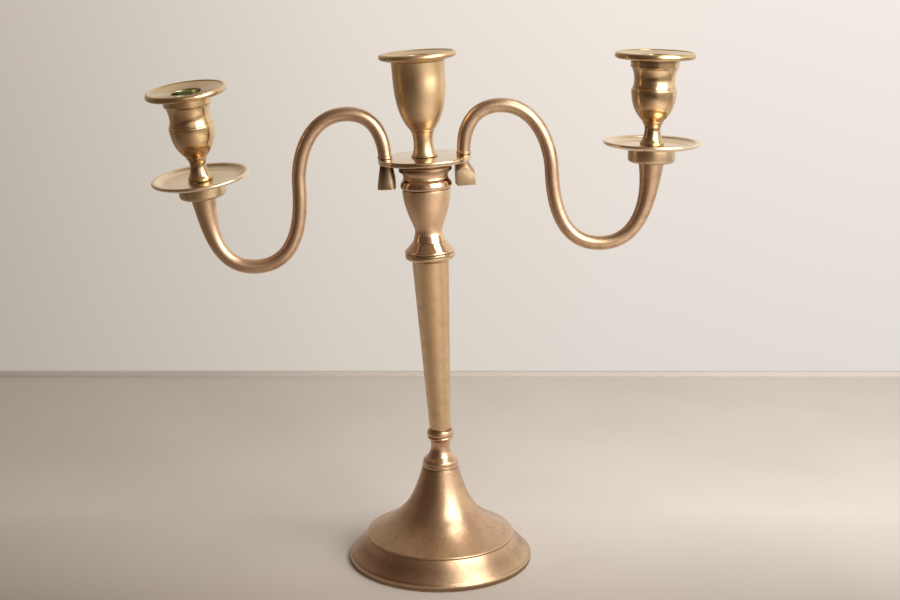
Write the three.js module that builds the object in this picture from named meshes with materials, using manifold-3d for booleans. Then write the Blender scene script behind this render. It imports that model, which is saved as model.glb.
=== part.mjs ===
// A three-light brass candelabra: a turned foot, a tapering stem whose top is a candle socket, and a
// two-armed branch whose plug stands in that socket. Millimetres, +Z up. The origin is the centre of
// the foot on the surface that it stands on; the arms run along X and the front is -Y.
import * as THREE from "three";
import { mergeVertices } from "three/addons/utils/BufferGeometryUtils.js";
import Module from "manifold-3d";

const wasm = await Module();
wasm.setup();

// Clearances
const GAP = 0.3; // between two pieces that touch
const BORE_SLACK = 0.3; // round a shank in its hole, on the radius
const PLUG_SLACK = 0.5; // round the branch's plug in the socket, on the radius
const CUT_OVER = 1; // how far a cut runs past the face that it starts from

// Lean of the worn joints, in degrees
const STEM_LEAN = 3.1; // stem on the foot, towards -X
const STEM_LEAN_BACK = 1.5; // towards +Y
const BRANCH_TURN = 2; // branch about its own axis, left arm to the front
const CUP_LEAN = 0.8; // centre cup on the plate, towards -X

// Foot
const FOOT_RADIUS = 71.5;
const FOOT_BAND = 4.4; // height of the upright edge
const FOOT_WALL = 3.2;
const FOOT_RING_WIDTH = 7; // flat ring that it stands on
const FOOT_EDGE_ROLL = 2; // rounding above the upright edge
const LIP_RADIUS = 57.6;
const LIP_HEIGHT = 21.6;
const LIP_STEP = 1.6;
const LIP_ROUND = 0.8;
const BASE_SWELL = 4.4; // how far the base's slope swells past the lip
const BASE_SWELL_HEIGHT = 13.2;
const BELL_TOP_RADIUS = 13.9;
const BELL_HEIGHT = 75.8;
const BELL_WEB = 7; // solid thickness under the bell's top
const BELL_SWEEP_RADIUS = 30; // the bell's curve is drawn out to here above its lip
const BELL_SWEEP_RISE = 14.6;
const BELL_SWEEP_RISE_INSIDE = 9;
const BELL_FLARE = 9.2; // and this much wider than its top, this far down
const BELL_FLARE_DROP = 33.6;
const BELL_FLARE_INSIDE = 6;
const BELL_FLARE_DROP_INSIDE = 36;

// Collar between foot and stem
const COLLAR_RADIUS = 13.3;
const COLLAR_SHOULDER_RADIUS = 12.6;
const COLLAR_SHOULDER = 5.7; // shoulder above the bell
const COLLAR_NECK_RADIUS = 7.3;
const COLLAR_NECK = 16;
const COLLAR_NECK_CURVE = 4; // how the hollow of the neck is drawn in
const COLLAR_SKIRT = 0.8; // thin skirt on the bell
const COLLAR_SKIRT_HEIGHT = 0.9;
const COLLAR_SKIRT_SLOPE = 0.45;
const COLLAR_SHOULDER_ROUND = 1;
const COLLAR_BEAD_RADIUS = 10.2;
const COLLAR_BEAD = 8.4; // height of the bead, with its slopes
const COLLAR_BEAD_EDGE = 2.4; // slope above the bead's upright face
const COLLAR_BEAD_FACE = 2.6;
const COLLAR_BEAD_ROUND = 1.2;
const COLLAR_BEAD_ROUND_RISE = 1.6;
const COLLAR_SEAT_LIP = 1; // flat ring round the seat
const COLLAR_HEIGHT = 29.8;
const SEAT_DEPTH = 1.6; // recess that the stem stands in
const SHANK_RADIUS = 5;
const FOOT_NUT_FLATS = 15;
const FOOT_NUT_HEIGHT = 7;
const FOOT_WASHER_RADIUS = 10.5;
const FOOT_WASHER_THICKNESS = 1.6;
const SHANK_END = 1.5; // the shank stands out of its nut

// Stem
const STEM_FOOT_RADIUS = 8.1;
const STEM_TOP_RADIUS = 14;
const STEM_TAPER = 134.6; // length of the plain taper
const STEM_FLARE = 6.8; // from the taper to the joint in the bead
const STEM_FILLET = 0.6; // the taper runs into the bead in a small curve
const STEM_FILLET_RISE = 1.2;
const STEM_BEAD_RADIUS = 19;
const STEM_BEAD = 3.2; // the bead's upright part
const STEM_BEAD_SWELL = 0.8; // how its round underside is drawn out
const STEM_BEAD_SWELL_RISE = 1.6;
const BEAD_EDGE = 0.5; // broken edge at the joint
const STUD_RADIUS = 3.2;
const STUD_DEPTH = 14; // length of a stud in each piece that it joins

// Socket on the stem
const SOCKET_BEAD_RADIUS = 19.1;
const SOCKET_BEAD = 8.1; // height of the sloping bead
const SOCKET_BEAD_SWELL = 3.4; // its slope is drawn outwards to a point this far in from its edge
const SOCKET_BEAD_SWELL_RISE = 4.5;
const SOCKET_BEAD_TOP_RADIUS = 13;
const SOCKET_COVE = 14.2; // height of the cove above the bead
const SOCKET_WAIST_RADIUS = 10.4;
const SOCKET_WAIST = 16.6;
const VASE_RADIUS = 18.3;
const VASE_HEIGHT = 48.7; // bottom of the socket to the groove under the upper bead
const VASE_EDGE = 2; // straight part under the groove
const VASE_SWELL = 19.1; // how far below the groove the vase swells out
const VASE_SWELL_IN = 1.2;
const VASE_FOOT = 4.5; // how far above the waist it stays narrow
const UPPER_BEAD_RADIUS = 19.3;
const UPPER_BEAD = 7.2; // groove to the bead's upper end
const UPPER_BEAD_END = 0.8; // the bead ends this much wider than the neck
const UPPER_NECK_RADIUS = 16.6;
const UPPER_NECK_HOLLOW = 1.4;
const SOCKET_RIM_RADIUS = 20.1;
const SOCKET_RIM = 4.4;
const SOCKET_RIM_ROUND = 1.4;
const SOCKET_HEIGHT = 66;

// Candle bores, the socket's own among them
const CANDLE_RADIUS = 11;
const CANDLE_DEPTH = 25;

// Branch plug and plate
const PLUG_LENGTH = 24;
const PLUG_FLANGE_RADIUS = 15;
const PLUG_FLANGE = 2.4;
const PLUG_BEVEL = 1.5;
const PLATE_RADIUS = 35.2;
const PLATE_THICKNESS = 3.8;
const CENTRE_STUD_RADIUS = 3.2;

// Centre cup
const CENTRE_CUP_HEIGHT = 77.5;
const CENTRE_RIM_RADIUS = 29;
const CENTRE_RIM = 4.6;
const CENTRE_RIM_SLOPE = 2; // the underside of the rim falls towards the body
const CENTRE_BODY_RADIUS = 20;
const CENTRE_BODY_LOW = 20.7; // where the body starts
const CENTRE_BODY_SWELL = 7; // above that its curve is drawn out
const CENTRE_BODY_SWELL_IN = 4.6;
const CENTRE_BODY_FULL = 39.1; // height where the curve is all but full
const CENTRE_BODY_STRAIGHT = 57.1; // from here up it is all but straight
const CENTRE_BODY_TAPER = 0.3;
const CENTRE_FOOT_RADIUS = 10;
const CENTRE_FOOT = 5; // height of the foot's flare
const CENTRE_FOOT_FALL = 1.6;
const CENTRE_NECK_RADIUS = 7.4;
const CENTRE_NECK = 10.2; // height of the narrowest place
const CENTRE_NECK_TOP = 16.6;
const CENTRE_RING = 2.4; // ring between neck and body
const CENTRE_RING_EDGE = 0.8;
const CENTRE_RING_HEIGHT = 1;

// Rims of the three cups
const RIM_ROLL = 2.8; // width of the rolled edge
const RIM_ROUND = 1.2;
const RIM_STEP = 0.9; // from the rolled edge down to the dish
const DISH_DEPTH = 2.6;
const BORE_ROUND = 0.8;

// Arms
const ARM_ROOT = 29.6; // from the branch's axis
const ARM_ARCH = 57.2;
const ARM_ARCH_RISE = 35.2; // the rises are from the top of the plate
const ARM_DROP = 95.2;
const ARM_DROP_RISE = -15.9;
const ARM_BEND = 131.8;
const ARM_TIP_LEAN = 3.85; // degrees outwards
const ARM_RADIUS = 5.4;
const ARM_ROOT_RADIUS = 5;
const ARM_TIP_RADIUS = 9.7;
const ARM_FLARE = 0.26; // share of the length over which the tip flares
const ARM_FLARE_POWER = 2.7;
const ARM_ROOT_SHARE = 0.06; // share of the length over which the root thins
const ARM_FOOT_RADIUS = 5.6; // ring that the arm stands on the plate with
const ARM_FOOT = 2.2;
const SPIGOT_RADIUS = 3;
const SPIGOT_END = 1; // the spigot ends inside its nut
// How far the curve is drawn out each way at the root, the arch, the drop, the bend and the tip
const ROOT_PULL = 22;
const ARCH_PULL_IN = 17.7;
const ARCH_PULL_OUT = 28.6;
const DROP_PULL = 19.5;
const BEND_PULL_IN = 34.5;
const BEND_PULL_OUT = 31.5;
const TIP_PULL = 20;
// The arms are bent by hand, each a little differently. The nod of a tip is in degrees to the front.
const LEFT_ARM = { label: "left", side: -1, reach: 167.4, tipRise: -20.4, bendRise: -76.4, nod: 6 };
const RIGHT_ARM = { label: "right", side: 1, reach: 170.5, tipRise: -14.7, bendRise: -74.1, nod: 0 };

// Square nuts under the plate, turned down to a neck and a cone. The left and the right one differ:
// the nut's turn and the cone's slope from the axis are in degrees, the cone's offset is along X.
const NUT_SIDE = 13.6;
const NUT_HEIGHT = 18.6;
const NUT_NECK = 2;
const NUT_NECK_RADIUS = 5;
const LEFT_NUT = { turn: -4, slope: 10, offset: 0.6 };
const RIGHT_NUT = { turn: 6, slope: 33, offset: -1.6 };

// Pieces at an arm's tip
const TIP_COLLAR_RADIUS = 17.8;
const TIP_COLLAR_HEIGHT = 10.9;
const TIP_COLLAR_ROUND = 3.4; // width of the rounding underneath
const TIP_COLLAR_ROUND_RISE = 2.2;
const PAN_RADIUS = 36.9;
const PAN_THICKNESS = 1.6;
const PAN_LIP_HEIGHT = 5;
const PAN_LIP_WIDTH = 4.6;
const PAN_LIP_ROUND = 1.5;
const PAN_LIP_FACE = 2.8; // height of the lip's outer face
const PAN_SLOPE = 6; // width over which the pan rises to its lip
const PAN_GROOVE = 1.2; // fall from the lip to the groove inside it
const PAN_LIP_UNDERCUT = 1; // the lip's outer face leans in by this much towards its foot
const PAN_BEND = 0.4;
const SIDE_CUP_HEIGHT = 69.6;
const SIDE_RIM_RADIUS = 30.3;
const SIDE_RIM = 5.2;
const SIDE_BAND_RADIUS = 18.2;
const SIDE_BAND = 6.3; // upright band under the rim
const SIDE_BAND_SLOPE = 1.4; // slope under the band
const SIDE_WAIST_RADIUS = 14.9;
const SIDE_WAIST_LOW = 46.4; // the hollow between shoulder and band is drawn in between these two
const SIDE_WAIST_HIGH = 51.6;
const SIDE_SHOULDER = 42.6; // top of the shoulder
const SIDE_SHOULDER_EDGE = 0.6;
const SIDE_BULGE_RADIUS = 17.1;
const SIDE_BULGE_SWELL = 24.5; // height where the lower body swells out
const SIDE_BULGE_SWELL_IN = 2.6;
const SIDE_BULGE_FULL = 32;
const SIDE_RING = 18.3; // height of the ring line under the body
const SIDE_RING_RADIUS = 8.3;
const SIDE_RING_EDGE = 0.3;
const SIDE_RING_HEIGHT = 1.3;
const SIDE_FOOT_RADIUS = 9.2;
const SIDE_FOOT = 2;
const SIDE_FOOT_CURVE = 0.5; // how its hollow is drawn in towards the neck
const SIDE_FOOT_CURVE_HEIGHT = 5;
const SIDE_NECK_RADIUS = 6;
const SIDE_NECK = 11.5; // height of the narrowest place
const SIDE_NECK_TOP = 15.6;
const SIDE_NECK_TOP_FLARE = 0.7;
const SIDE_STUD_RADIUS = 2.8;
const SIDE_STUD_DEPTH = 12;

// Facets
const CURVE_STEPS = 3;
const BELL_STEPS = 7;
const SMALL_SIDES = 12;
const CUP_SIDES = 24;
const WIDE_SIDES = 32;
const ARM_STEPS = 40;
const ARM_SIDES = 5; // half as many as the section has sides

const degrees = THREE.MathUtils.degToRad;

// Finishes
function brass(colour, roughness) {
  return new THREE.MeshStandardMaterial({ color: colour, roughness, metalness: 1 });
}
const finishes = {
  foot: () => brass(0x9a7148, 0.3),
  stem: () => brass(0xa67c4d, 0.28),
  bright: () => brass(0xb58d58, 0.22),
  arm: () => brass(0xa47a50, 0.3),
  nut: () => brass(0x8d7452, 0.45),
  hidden: () => new THREE.MeshStandardMaterial({ color: 0x77726a, roughness: 0.5, metalness: 0.9 }),
};

// Solids
function node(name, geometry, finish) {
  const mesh = new THREE.Mesh(geometry, finishes[finish]());
  mesh.name = name;
  return mesh;
}

// A body of revolution about +Z. The outline runs up the outside in (radius, height).
function lathe(outline, sides) {
  const points = outline.getPoints(CURVE_STEPS);
  return new THREE.LatheGeometry(points, sides).rotateX(Math.PI / 2);
}

function rod(radius, low, high, sides = SMALL_SIDES) {
  const outline = new THREE.Path();
  outline.moveTo(0, low).lineTo(radius, low).lineTo(radius, high).lineTo(0, high);
  return lathe(outline, sides);
}

function toManifold(geometry) {
  const bare = geometry.clone();
  bare.deleteAttribute("normal");
  bare.deleteAttribute("uv");
  const merged = mergeVertices(bare, 1e-4);
  return new wasm.Manifold(
    new wasm.Mesh({
      numProp: 3,
      vertProperties: new Float32Array(merged.attributes.position.array),
      triVerts: new Uint32Array(merged.index.array),
    }),
  );
}

function toGeometry(solid) {
  const mesh = solid.getMesh();
  const geometry = new THREE.BufferGeometry();
  geometry.setAttribute("position", new THREE.BufferAttribute(mesh.vertProperties, 3));
  geometry.setIndex(new THREE.BufferAttribute(mesh.triVerts, 1));
  geometry.computeVertexNormals();
  return geometry;
}

function cut(body, ...tools) {
  return tools.reduce((left, tool) => left.subtract(toManifold(tool)), toManifold(body));
}

// Foot: a spun bell on a rolled base, open underneath
const shankHole = SHANK_RADIUS + BORE_SLACK;

function footBell() {
  const outline = new THREE.Path();
  const ringInner = FOOT_RADIUS - FOOT_RING_WIDTH;
  const baseTop = LIP_HEIGHT - LIP_STEP;
  const webLow = BELL_HEIGHT - BELL_WEB;
  outline.moveTo(ringInner, 0);
  outline.lineTo(FOOT_RADIUS, 0);
  outline.lineTo(FOOT_RADIUS, FOOT_BAND);
  outline.lineTo(FOOT_RADIUS - FOOT_EDGE_ROLL / 2, FOOT_BAND + FOOT_EDGE_ROLL);
  outline.quadraticCurveTo(LIP_RADIUS + BASE_SWELL, BASE_SWELL_HEIGHT, LIP_RADIUS - LIP_ROUND / 2, baseTop);
  outline.lineTo(LIP_RADIUS, LIP_HEIGHT - LIP_ROUND);
  outline.lineTo(LIP_RADIUS - LIP_ROUND, LIP_HEIGHT);
  const bell = new THREE.CubicBezierCurve(
    new THREE.Vector2(LIP_RADIUS - LIP_ROUND, LIP_HEIGHT),
    new THREE.Vector2(BELL_SWEEP_RADIUS, LIP_HEIGHT + BELL_SWEEP_RISE),
    new THREE.Vector2(BELL_TOP_RADIUS + BELL_FLARE, BELL_HEIGHT - BELL_FLARE_DROP),
    new THREE.Vector2(BELL_TOP_RADIUS, BELL_HEIGHT),
  );
  bell.getPoints(BELL_STEPS).forEach((point) => outline.lineTo(point.x, point.y));
  outline.lineTo(shankHole, BELL_HEIGHT);
  outline.lineTo(shankHole, webLow);
  outline.lineTo(BELL_TOP_RADIUS - FOOT_WALL + LIP_ROUND, webLow);
  outline.bezierCurveTo(
    BELL_TOP_RADIUS + BELL_FLARE_INSIDE, BELL_HEIGHT - BELL_FLARE_DROP_INSIDE,
    BELL_SWEEP_RADIUS, LIP_HEIGHT + BELL_SWEEP_RISE_INSIDE,
    LIP_RADIUS - FOOT_WALL, baseTop - FOOT_WALL,
  );
  outline.lineTo(ringInner, FOOT_BAND);
  outline.lineTo(ringInner, 0);
  return lathe(outline, WIDE_SIDES);
}

// Collar: a turned knop whose shank goes down through the bell
const collarBase = BELL_HEIGHT + GAP;
const collarTop = collarBase + COLLAR_HEIGHT;
const seatFloor = collarTop - SEAT_DEPTH;
const seatRadius = STEM_FOOT_RADIUS + GAP;
// The collar's hole is worn wide enough for the stem's stud to lean in it.
const stemLean = degrees(Math.hypot(STEM_LEAN, STEM_LEAN_BACK));
const wornRadius = STUD_RADIUS + STUD_DEPTH * Math.sin(stemLean);
const washerTop = BELL_HEIGHT - BELL_WEB - GAP;
const footNutTop = washerTop - FOOT_WASHER_THICKNESS - GAP;
const shankEnd = footNutTop - FOOT_NUT_HEIGHT - SHANK_END;

function footCollar() {
  const skirt = COLLAR_RADIUS + COLLAR_SKIRT;
  const shoulder = collarBase + COLLAR_SHOULDER;
  const neck = collarBase + COLLAR_NECK;
  const beadLow = collarTop - COLLAR_BEAD;
  const faceTop = collarTop - COLLAR_BEAD_EDGE;
  const outline = new THREE.Path();
  outline.moveTo(0, shankEnd);
  outline.lineTo(SHANK_RADIUS, shankEnd);
  outline.lineTo(SHANK_RADIUS, collarBase);
  outline.lineTo(skirt, collarBase);
  outline.lineTo(skirt, collarBase + COLLAR_SKIRT_HEIGHT);
  outline.lineTo(COLLAR_RADIUS, collarBase + COLLAR_SKIRT_HEIGHT + COLLAR_SKIRT_SLOPE);
  outline.lineTo(COLLAR_SHOULDER_RADIUS + COLLAR_SKIRT / 3, shoulder - COLLAR_SHOULDER_ROUND);
  outline.lineTo(COLLAR_SHOULDER_RADIUS - COLLAR_SKIRT, shoulder + COLLAR_SKIRT / 2);
  outline.bezierCurveTo(
    COLLAR_NECK_RADIUS + COLLAR_NECK_CURVE / 2, shoulder + COLLAR_NECK_CURVE,
    COLLAR_NECK_RADIUS, neck - COLLAR_NECK_CURVE,
    COLLAR_NECK_RADIUS, neck,
  );
  outline.quadraticCurveTo(
    COLLAR_NECK_RADIUS, beadLow,
    COLLAR_BEAD_RADIUS - COLLAR_BEAD_ROUND, beadLow + COLLAR_BEAD_ROUND_RISE,
  );
  outline.lineTo(COLLAR_BEAD_RADIUS, faceTop - COLLAR_BEAD_FACE);
  outline.lineTo(COLLAR_BEAD_RADIUS, faceTop);
  outline.lineTo(seatRadius + COLLAR_SEAT_LIP, collarTop);
  outline.lineTo(seatRadius, collarTop);
  outline.lineTo(seatRadius, seatFloor);
  outline.lineTo(0, seatFloor);
  return toGeometry(cut(lathe(outline, CUP_SIDES), studHole(seatFloor, -1, wornRadius)));
}

// A stud's hole, sunk into a piece from one of its faces. Way is -1 down and 1 up.
function studHole(face, way, radius = STUD_RADIUS, depth = STUD_DEPTH) {
  const far = face + way * (depth + GAP);
  const near = face - way * CUT_OVER;
  return rod(radius + BORE_SLACK, Math.min(far, near), Math.max(far, near), SMALL_SIDES);
}

function footWasher() {
  const outline = new THREE.Path();
  const low = washerTop - FOOT_WASHER_THICKNESS;
  outline.moveTo(shankHole, low);
  outline.lineTo(FOOT_WASHER_RADIUS, low);
  outline.lineTo(FOOT_WASHER_RADIUS, washerTop);
  outline.lineTo(shankHole, washerTop);
  outline.lineTo(shankHole, low);
  return lathe(outline, CUP_SIDES);
}

// A prism with a round hole, upright, from its low face up
function nutBlank(sides, flats, height, hole) {
  const shape = new THREE.Shape();
  const corner = flats / 2 / Math.cos(Math.PI / sides);
  for (let side = 0; side < sides; side += 1) {
    const turn = ((side + 0.5) * 2 * Math.PI) / sides;
    const point = [corner * Math.cos(turn), corner * Math.sin(turn)];
    if (side === 0) shape.moveTo(...point);
    else shape.lineTo(...point);
  }
  shape.closePath();
  const bore = new THREE.Path();
  bore.absarc(0, 0, hole, 0, 2 * Math.PI, true);
  shape.holes.push(bore);
  const curveSegments = SMALL_SIDES / 2;
  return new THREE.ExtrudeGeometry(shape, { depth: height, bevelEnabled: false, curveSegments });
}

function footNut() {
  const low = footNutTop - FOOT_NUT_HEIGHT;
  return nutBlank(6, FOOT_NUT_FLATS, FOOT_NUT_HEIGHT, shankHole).translate(0, 0, low);
}

// Stem, in its own frame: height 0 is its foot, in the collar's seat
const stemTop = STEM_TAPER + STEM_FLARE;

function stem() {
  const outline = new THREE.Path();
  outline.moveTo(0, 0);
  outline.lineTo(STEM_FOOT_RADIUS, 0);
  outline.lineTo(STEM_TOP_RADIUS, STEM_TAPER);
  outline.bezierCurveTo(
    STEM_TOP_RADIUS + STEM_FILLET, STEM_TAPER + STEM_FILLET_RISE,
    STEM_BEAD_RADIUS - STEM_BEAD_SWELL, STEM_TAPER + STEM_BEAD_SWELL_RISE,
    STEM_BEAD_RADIUS - BEAD_EDGE / 2, stemTop - STEM_BEAD,
  );
  outline.lineTo(STEM_BEAD_RADIUS, stemTop - STEM_BEAD / 2);
  outline.lineTo(STEM_BEAD_RADIUS, stemTop - BEAD_EDGE);
  outline.lineTo(STEM_BEAD_RADIUS - BEAD_EDGE, stemTop);
  outline.lineTo(0, stemTop);
  return toGeometry(cut(lathe(outline, CUP_SIDES), studHole(0, 1), studHole(stemTop, -1)));
}

function stud(middle, radius = STUD_RADIUS, depth = STUD_DEPTH) {
  return rod(radius, middle - depth, middle + depth);
}

// Socket: sloping bead, cove, waist, vase, upper bead and rolled rim, bored for a candle
const socketBase = stemTop + GAP;
const socketTop = socketBase + SOCKET_HEIGHT;

function stemSocket() {
  const z = (height) => socketBase + height;
  const groove = VASE_HEIGHT;
  const rimLow = SOCKET_HEIGHT - SOCKET_RIM;
  const boreFloor = SOCKET_HEIGHT - CANDLE_DEPTH;
  const outline = new THREE.Path();
  outline.moveTo(0, z(0));
  outline.lineTo(SOCKET_BEAD_RADIUS - BEAD_EDGE, z(0));
  outline.lineTo(SOCKET_BEAD_RADIUS, z(BEAD_EDGE));
  outline.quadraticCurveTo(
    SOCKET_BEAD_RADIUS - SOCKET_BEAD_SWELL, z(SOCKET_BEAD_SWELL_RISE),
    SOCKET_BEAD_TOP_RADIUS, z(SOCKET_BEAD),
  );
  outline.lineTo(SOCKET_BEAD_TOP_RADIUS - BEAD_EDGE, z(SOCKET_BEAD));
  outline.lineTo(SOCKET_WAIST_RADIUS + BEAD_EDGE / 2, z(SOCKET_COVE));
  outline.lineTo(SOCKET_WAIST_RADIUS, z(SOCKET_COVE + BEAD_EDGE));
  outline.lineTo(SOCKET_WAIST_RADIUS, z(SOCKET_WAIST));
  outline.bezierCurveTo(
    SOCKET_WAIST_RADIUS, z(SOCKET_WAIST + VASE_FOOT),
    VASE_RADIUS - VASE_SWELL_IN, z(VASE_HEIGHT - VASE_SWELL),
    VASE_RADIUS, z(groove - VASE_EDGE),
  );
  outline.lineTo(VASE_RADIUS, z(groove));
  outline.lineTo(UPPER_BEAD_RADIUS - BEAD_EDGE, z(groove + BEAD_EDGE));
  outline.quadraticCurveTo(
    UPPER_BEAD_RADIUS + BEAD_EDGE, z(groove + UPPER_BEAD / 3),
    UPPER_NECK_RADIUS + UPPER_BEAD_END, z(groove + UPPER_BEAD),
  );
  outline.quadraticCurveTo(
    UPPER_NECK_RADIUS - UPPER_NECK_HOLLOW, z((groove + UPPER_BEAD + rimLow) / 2),
    SOCKET_RIM_RADIUS - SOCKET_RIM_ROUND, z(rimLow),
  );
  outline.lineTo(SOCKET_RIM_RADIUS, z(rimLow + SOCKET_RIM_ROUND));
  outline.lineTo(SOCKET_RIM_RADIUS, z(SOCKET_HEIGHT - SOCKET_RIM_ROUND));
  outline.lineTo(SOCKET_RIM_RADIUS - SOCKET_RIM_ROUND, z(SOCKET_HEIGHT));
  outline.lineTo(CANDLE_RADIUS, z(SOCKET_HEIGHT));
  outline.lineTo(CANDLE_RADIUS, z(boreFloor));
  outline.lineTo(0, z(boreFloor));
  return toGeometry(cut(lathe(outline, CUP_SIDES), studHole(socketBase, 1)));
}

// Branch, in its own frame: height 0 is the socket's top face, on the branch's own axis
const plateLow = GAP + PLUG_FLANGE + GAP;
const plateTop = plateLow + PLATE_THICKNESS;
const cupBase = plateTop + GAP;
const plugRadius = CANDLE_RADIUS - PLUG_SLACK;

function branchPlug() {
  const outline = new THREE.Path();
  const top = GAP + PLUG_FLANGE;
  const end = GAP - PLUG_LENGTH;
  outline.moveTo(0, end);
  outline.lineTo(plugRadius - PLUG_BEVEL, end);
  outline.lineTo(plugRadius, end + PLUG_BEVEL);
  outline.lineTo(plugRadius, GAP);
  outline.lineTo(PLUG_FLANGE_RADIUS, GAP);
  outline.lineTo(PLUG_FLANGE_RADIUS, top);
  outline.lineTo(0, top);
  return toGeometry(cut(lathe(outline, CUP_SIDES), studHole(top, -1, CENTRE_STUD_RADIUS)));
}

function plateHole(centre, radius) {
  return rod(radius, plateLow - CUT_OVER, plateTop + CUT_OVER).translate(centre, 0, 0);
}

function branchPlate() {
  const edge = PLATE_THICKNESS / 4;
  const outline = new THREE.Path();
  outline.moveTo(0, plateLow);
  outline.lineTo(PLATE_RADIUS - edge, plateLow);
  outline.lineTo(PLATE_RADIUS, plateLow + edge);
  outline.lineTo(PLATE_RADIUS, plateTop - edge);
  outline.lineTo(PLATE_RADIUS - edge, plateTop);
  outline.lineTo(0, plateTop);
  const spigotHole = SPIGOT_RADIUS + BORE_SLACK;
  return toGeometry(
    cut(
      lathe(outline, WIDE_SIDES),
      plateHole(0, CENTRE_STUD_RADIUS + BORE_SLACK),
      plateHole(ARM_ROOT, spigotHole),
      plateHole(-ARM_ROOT, spigotHole),
    ),
  );
}

function centreStud() {
  const low = GAP + PLUG_FLANGE - STUD_DEPTH;
  return rod(CENTRE_STUD_RADIUS, low, cupBase + STUD_DEPTH);
}

// The rolled, dished rim that all three cups end in, and the candle bore below it
function rimAndBore(outline, rimRadius, thickness, top) {
  const low = top - thickness;
  const dishFloor = top - DISH_DEPTH;
  const boreFloor = top - CANDLE_DEPTH;
  outline.lineTo(rimRadius - RIM_ROUND, low);
  outline.lineTo(rimRadius, low + RIM_ROUND);
  outline.lineTo(rimRadius, top - RIM_ROUND);
  outline.lineTo(rimRadius - RIM_ROUND, top);
  outline.lineTo(rimRadius - RIM_ROLL, top - RIM_STEP);
  outline.lineTo(CANDLE_RADIUS + BORE_ROUND, dishFloor);
  outline.lineTo(CANDLE_RADIUS, dishFloor - BORE_ROUND);
  outline.lineTo(CANDLE_RADIUS, boreFloor);
  outline.lineTo(0, boreFloor);
}

// Centre cup, in its own frame: it leans a little on the plate, and its stud's hole is worn as wide.
const cupLean = degrees(CUP_LEAN);
const wornCentreRadius = CENTRE_STUD_RADIUS + STUD_DEPTH * Math.sin(cupLean);

function centreCup() {
  const top = CENTRE_CUP_HEIGHT;
  const ringRadius = CENTRE_NECK_RADIUS + CENTRE_RING;
  const outline = new THREE.Path();
  outline.moveTo(0, 0);
  outline.lineTo(CENTRE_FOOT_RADIUS, 0);
  outline.bezierCurveTo(
    CENTRE_FOOT_RADIUS - CENTRE_FOOT_FALL, CENTRE_FOOT / 2,
    CENTRE_NECK_RADIUS, CENTRE_FOOT,
    CENTRE_NECK_RADIUS, CENTRE_NECK,
  );
  outline.lineTo(CENTRE_NECK_RADIUS + CENTRE_RING / 4, CENTRE_NECK_TOP);
  outline.lineTo(ringRadius - CENTRE_RING_EDGE, CENTRE_BODY_LOW - CENTRE_RING_HEIGHT);
  outline.lineTo(ringRadius, CENTRE_BODY_LOW);
  outline.bezierCurveTo(
    CENTRE_BODY_RADIUS - CENTRE_BODY_SWELL_IN, CENTRE_BODY_LOW + CENTRE_BODY_SWELL,
    CENTRE_BODY_RADIUS - 2 * CENTRE_BODY_TAPER, CENTRE_BODY_FULL,
    CENTRE_BODY_RADIUS - CENTRE_BODY_TAPER, CENTRE_BODY_STRAIGHT,
  );
  outline.lineTo(CENTRE_BODY_RADIUS, top - CENTRE_RIM - CENTRE_RIM_SLOPE);
  rimAndBore(outline, CENTRE_RIM_RADIUS, CENTRE_RIM, top);
  return toGeometry(cut(lathe(outline, CUP_SIDES), studHole(0, 1, wornCentreRadius)));
}

// Arm: an S-bent rod that flares to its tip. Side is 1 for the right arm and -1 for the left.
class ArmPath extends THREE.CurvePath {
  constructor({ side, reach, tipRise, bendRise, nod }) {
    super();
    const at = (out, rise, front = 0) => new THREE.Vector3(side * out, -front, plateTop + rise);
    const lean = degrees(ARM_TIP_LEAN);
    const tip = at(reach, tipRise);
    const root = at(ARM_ROOT, GAP);
    const arch = at(ARM_ARCH, ARM_ARCH_RISE);
    const drop = at(ARM_DROP, ARM_DROP_RISE);
    const bend = at(ARM_BEND, bendRise);
    const below = at(
      reach - TIP_PULL * Math.sin(lean),
      tipRise - TIP_PULL * Math.cos(lean),
      -TIP_PULL * Math.sin(degrees(nod)),
    );
    const leg = (from, first, second, to) => this.add(new THREE.CubicBezierCurve3(from, first, second, to));
    leg(root, at(ARM_ROOT, ROOT_PULL), at(ARM_ARCH - ARCH_PULL_IN, ARM_ARCH_RISE), arch);
    leg(arch, at(ARM_ARCH + ARCH_PULL_OUT, ARM_ARCH_RISE), at(ARM_DROP, ARM_DROP_RISE + DROP_PULL), drop);
    leg(drop, at(ARM_DROP, ARM_DROP_RISE - DROP_PULL), at(ARM_BEND - BEND_PULL_IN, bendRise), bend);
    leg(bend, at(ARM_BEND + BEND_PULL_OUT, bendRise), below, tip);
  }
}

function armRadius(share) {
  const rooted = THREE.MathUtils.lerp(ARM_ROOT_RADIUS, ARM_RADIUS, Math.min(1, share / ARM_ROOT_SHARE));
  const flare = Math.max(0, (share - (1 - ARM_FLARE)) / ARM_FLARE);
  return rooted + (ARM_TIP_RADIUS - ARM_RADIUS) * flare ** ARM_FLARE_POWER;
}

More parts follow.
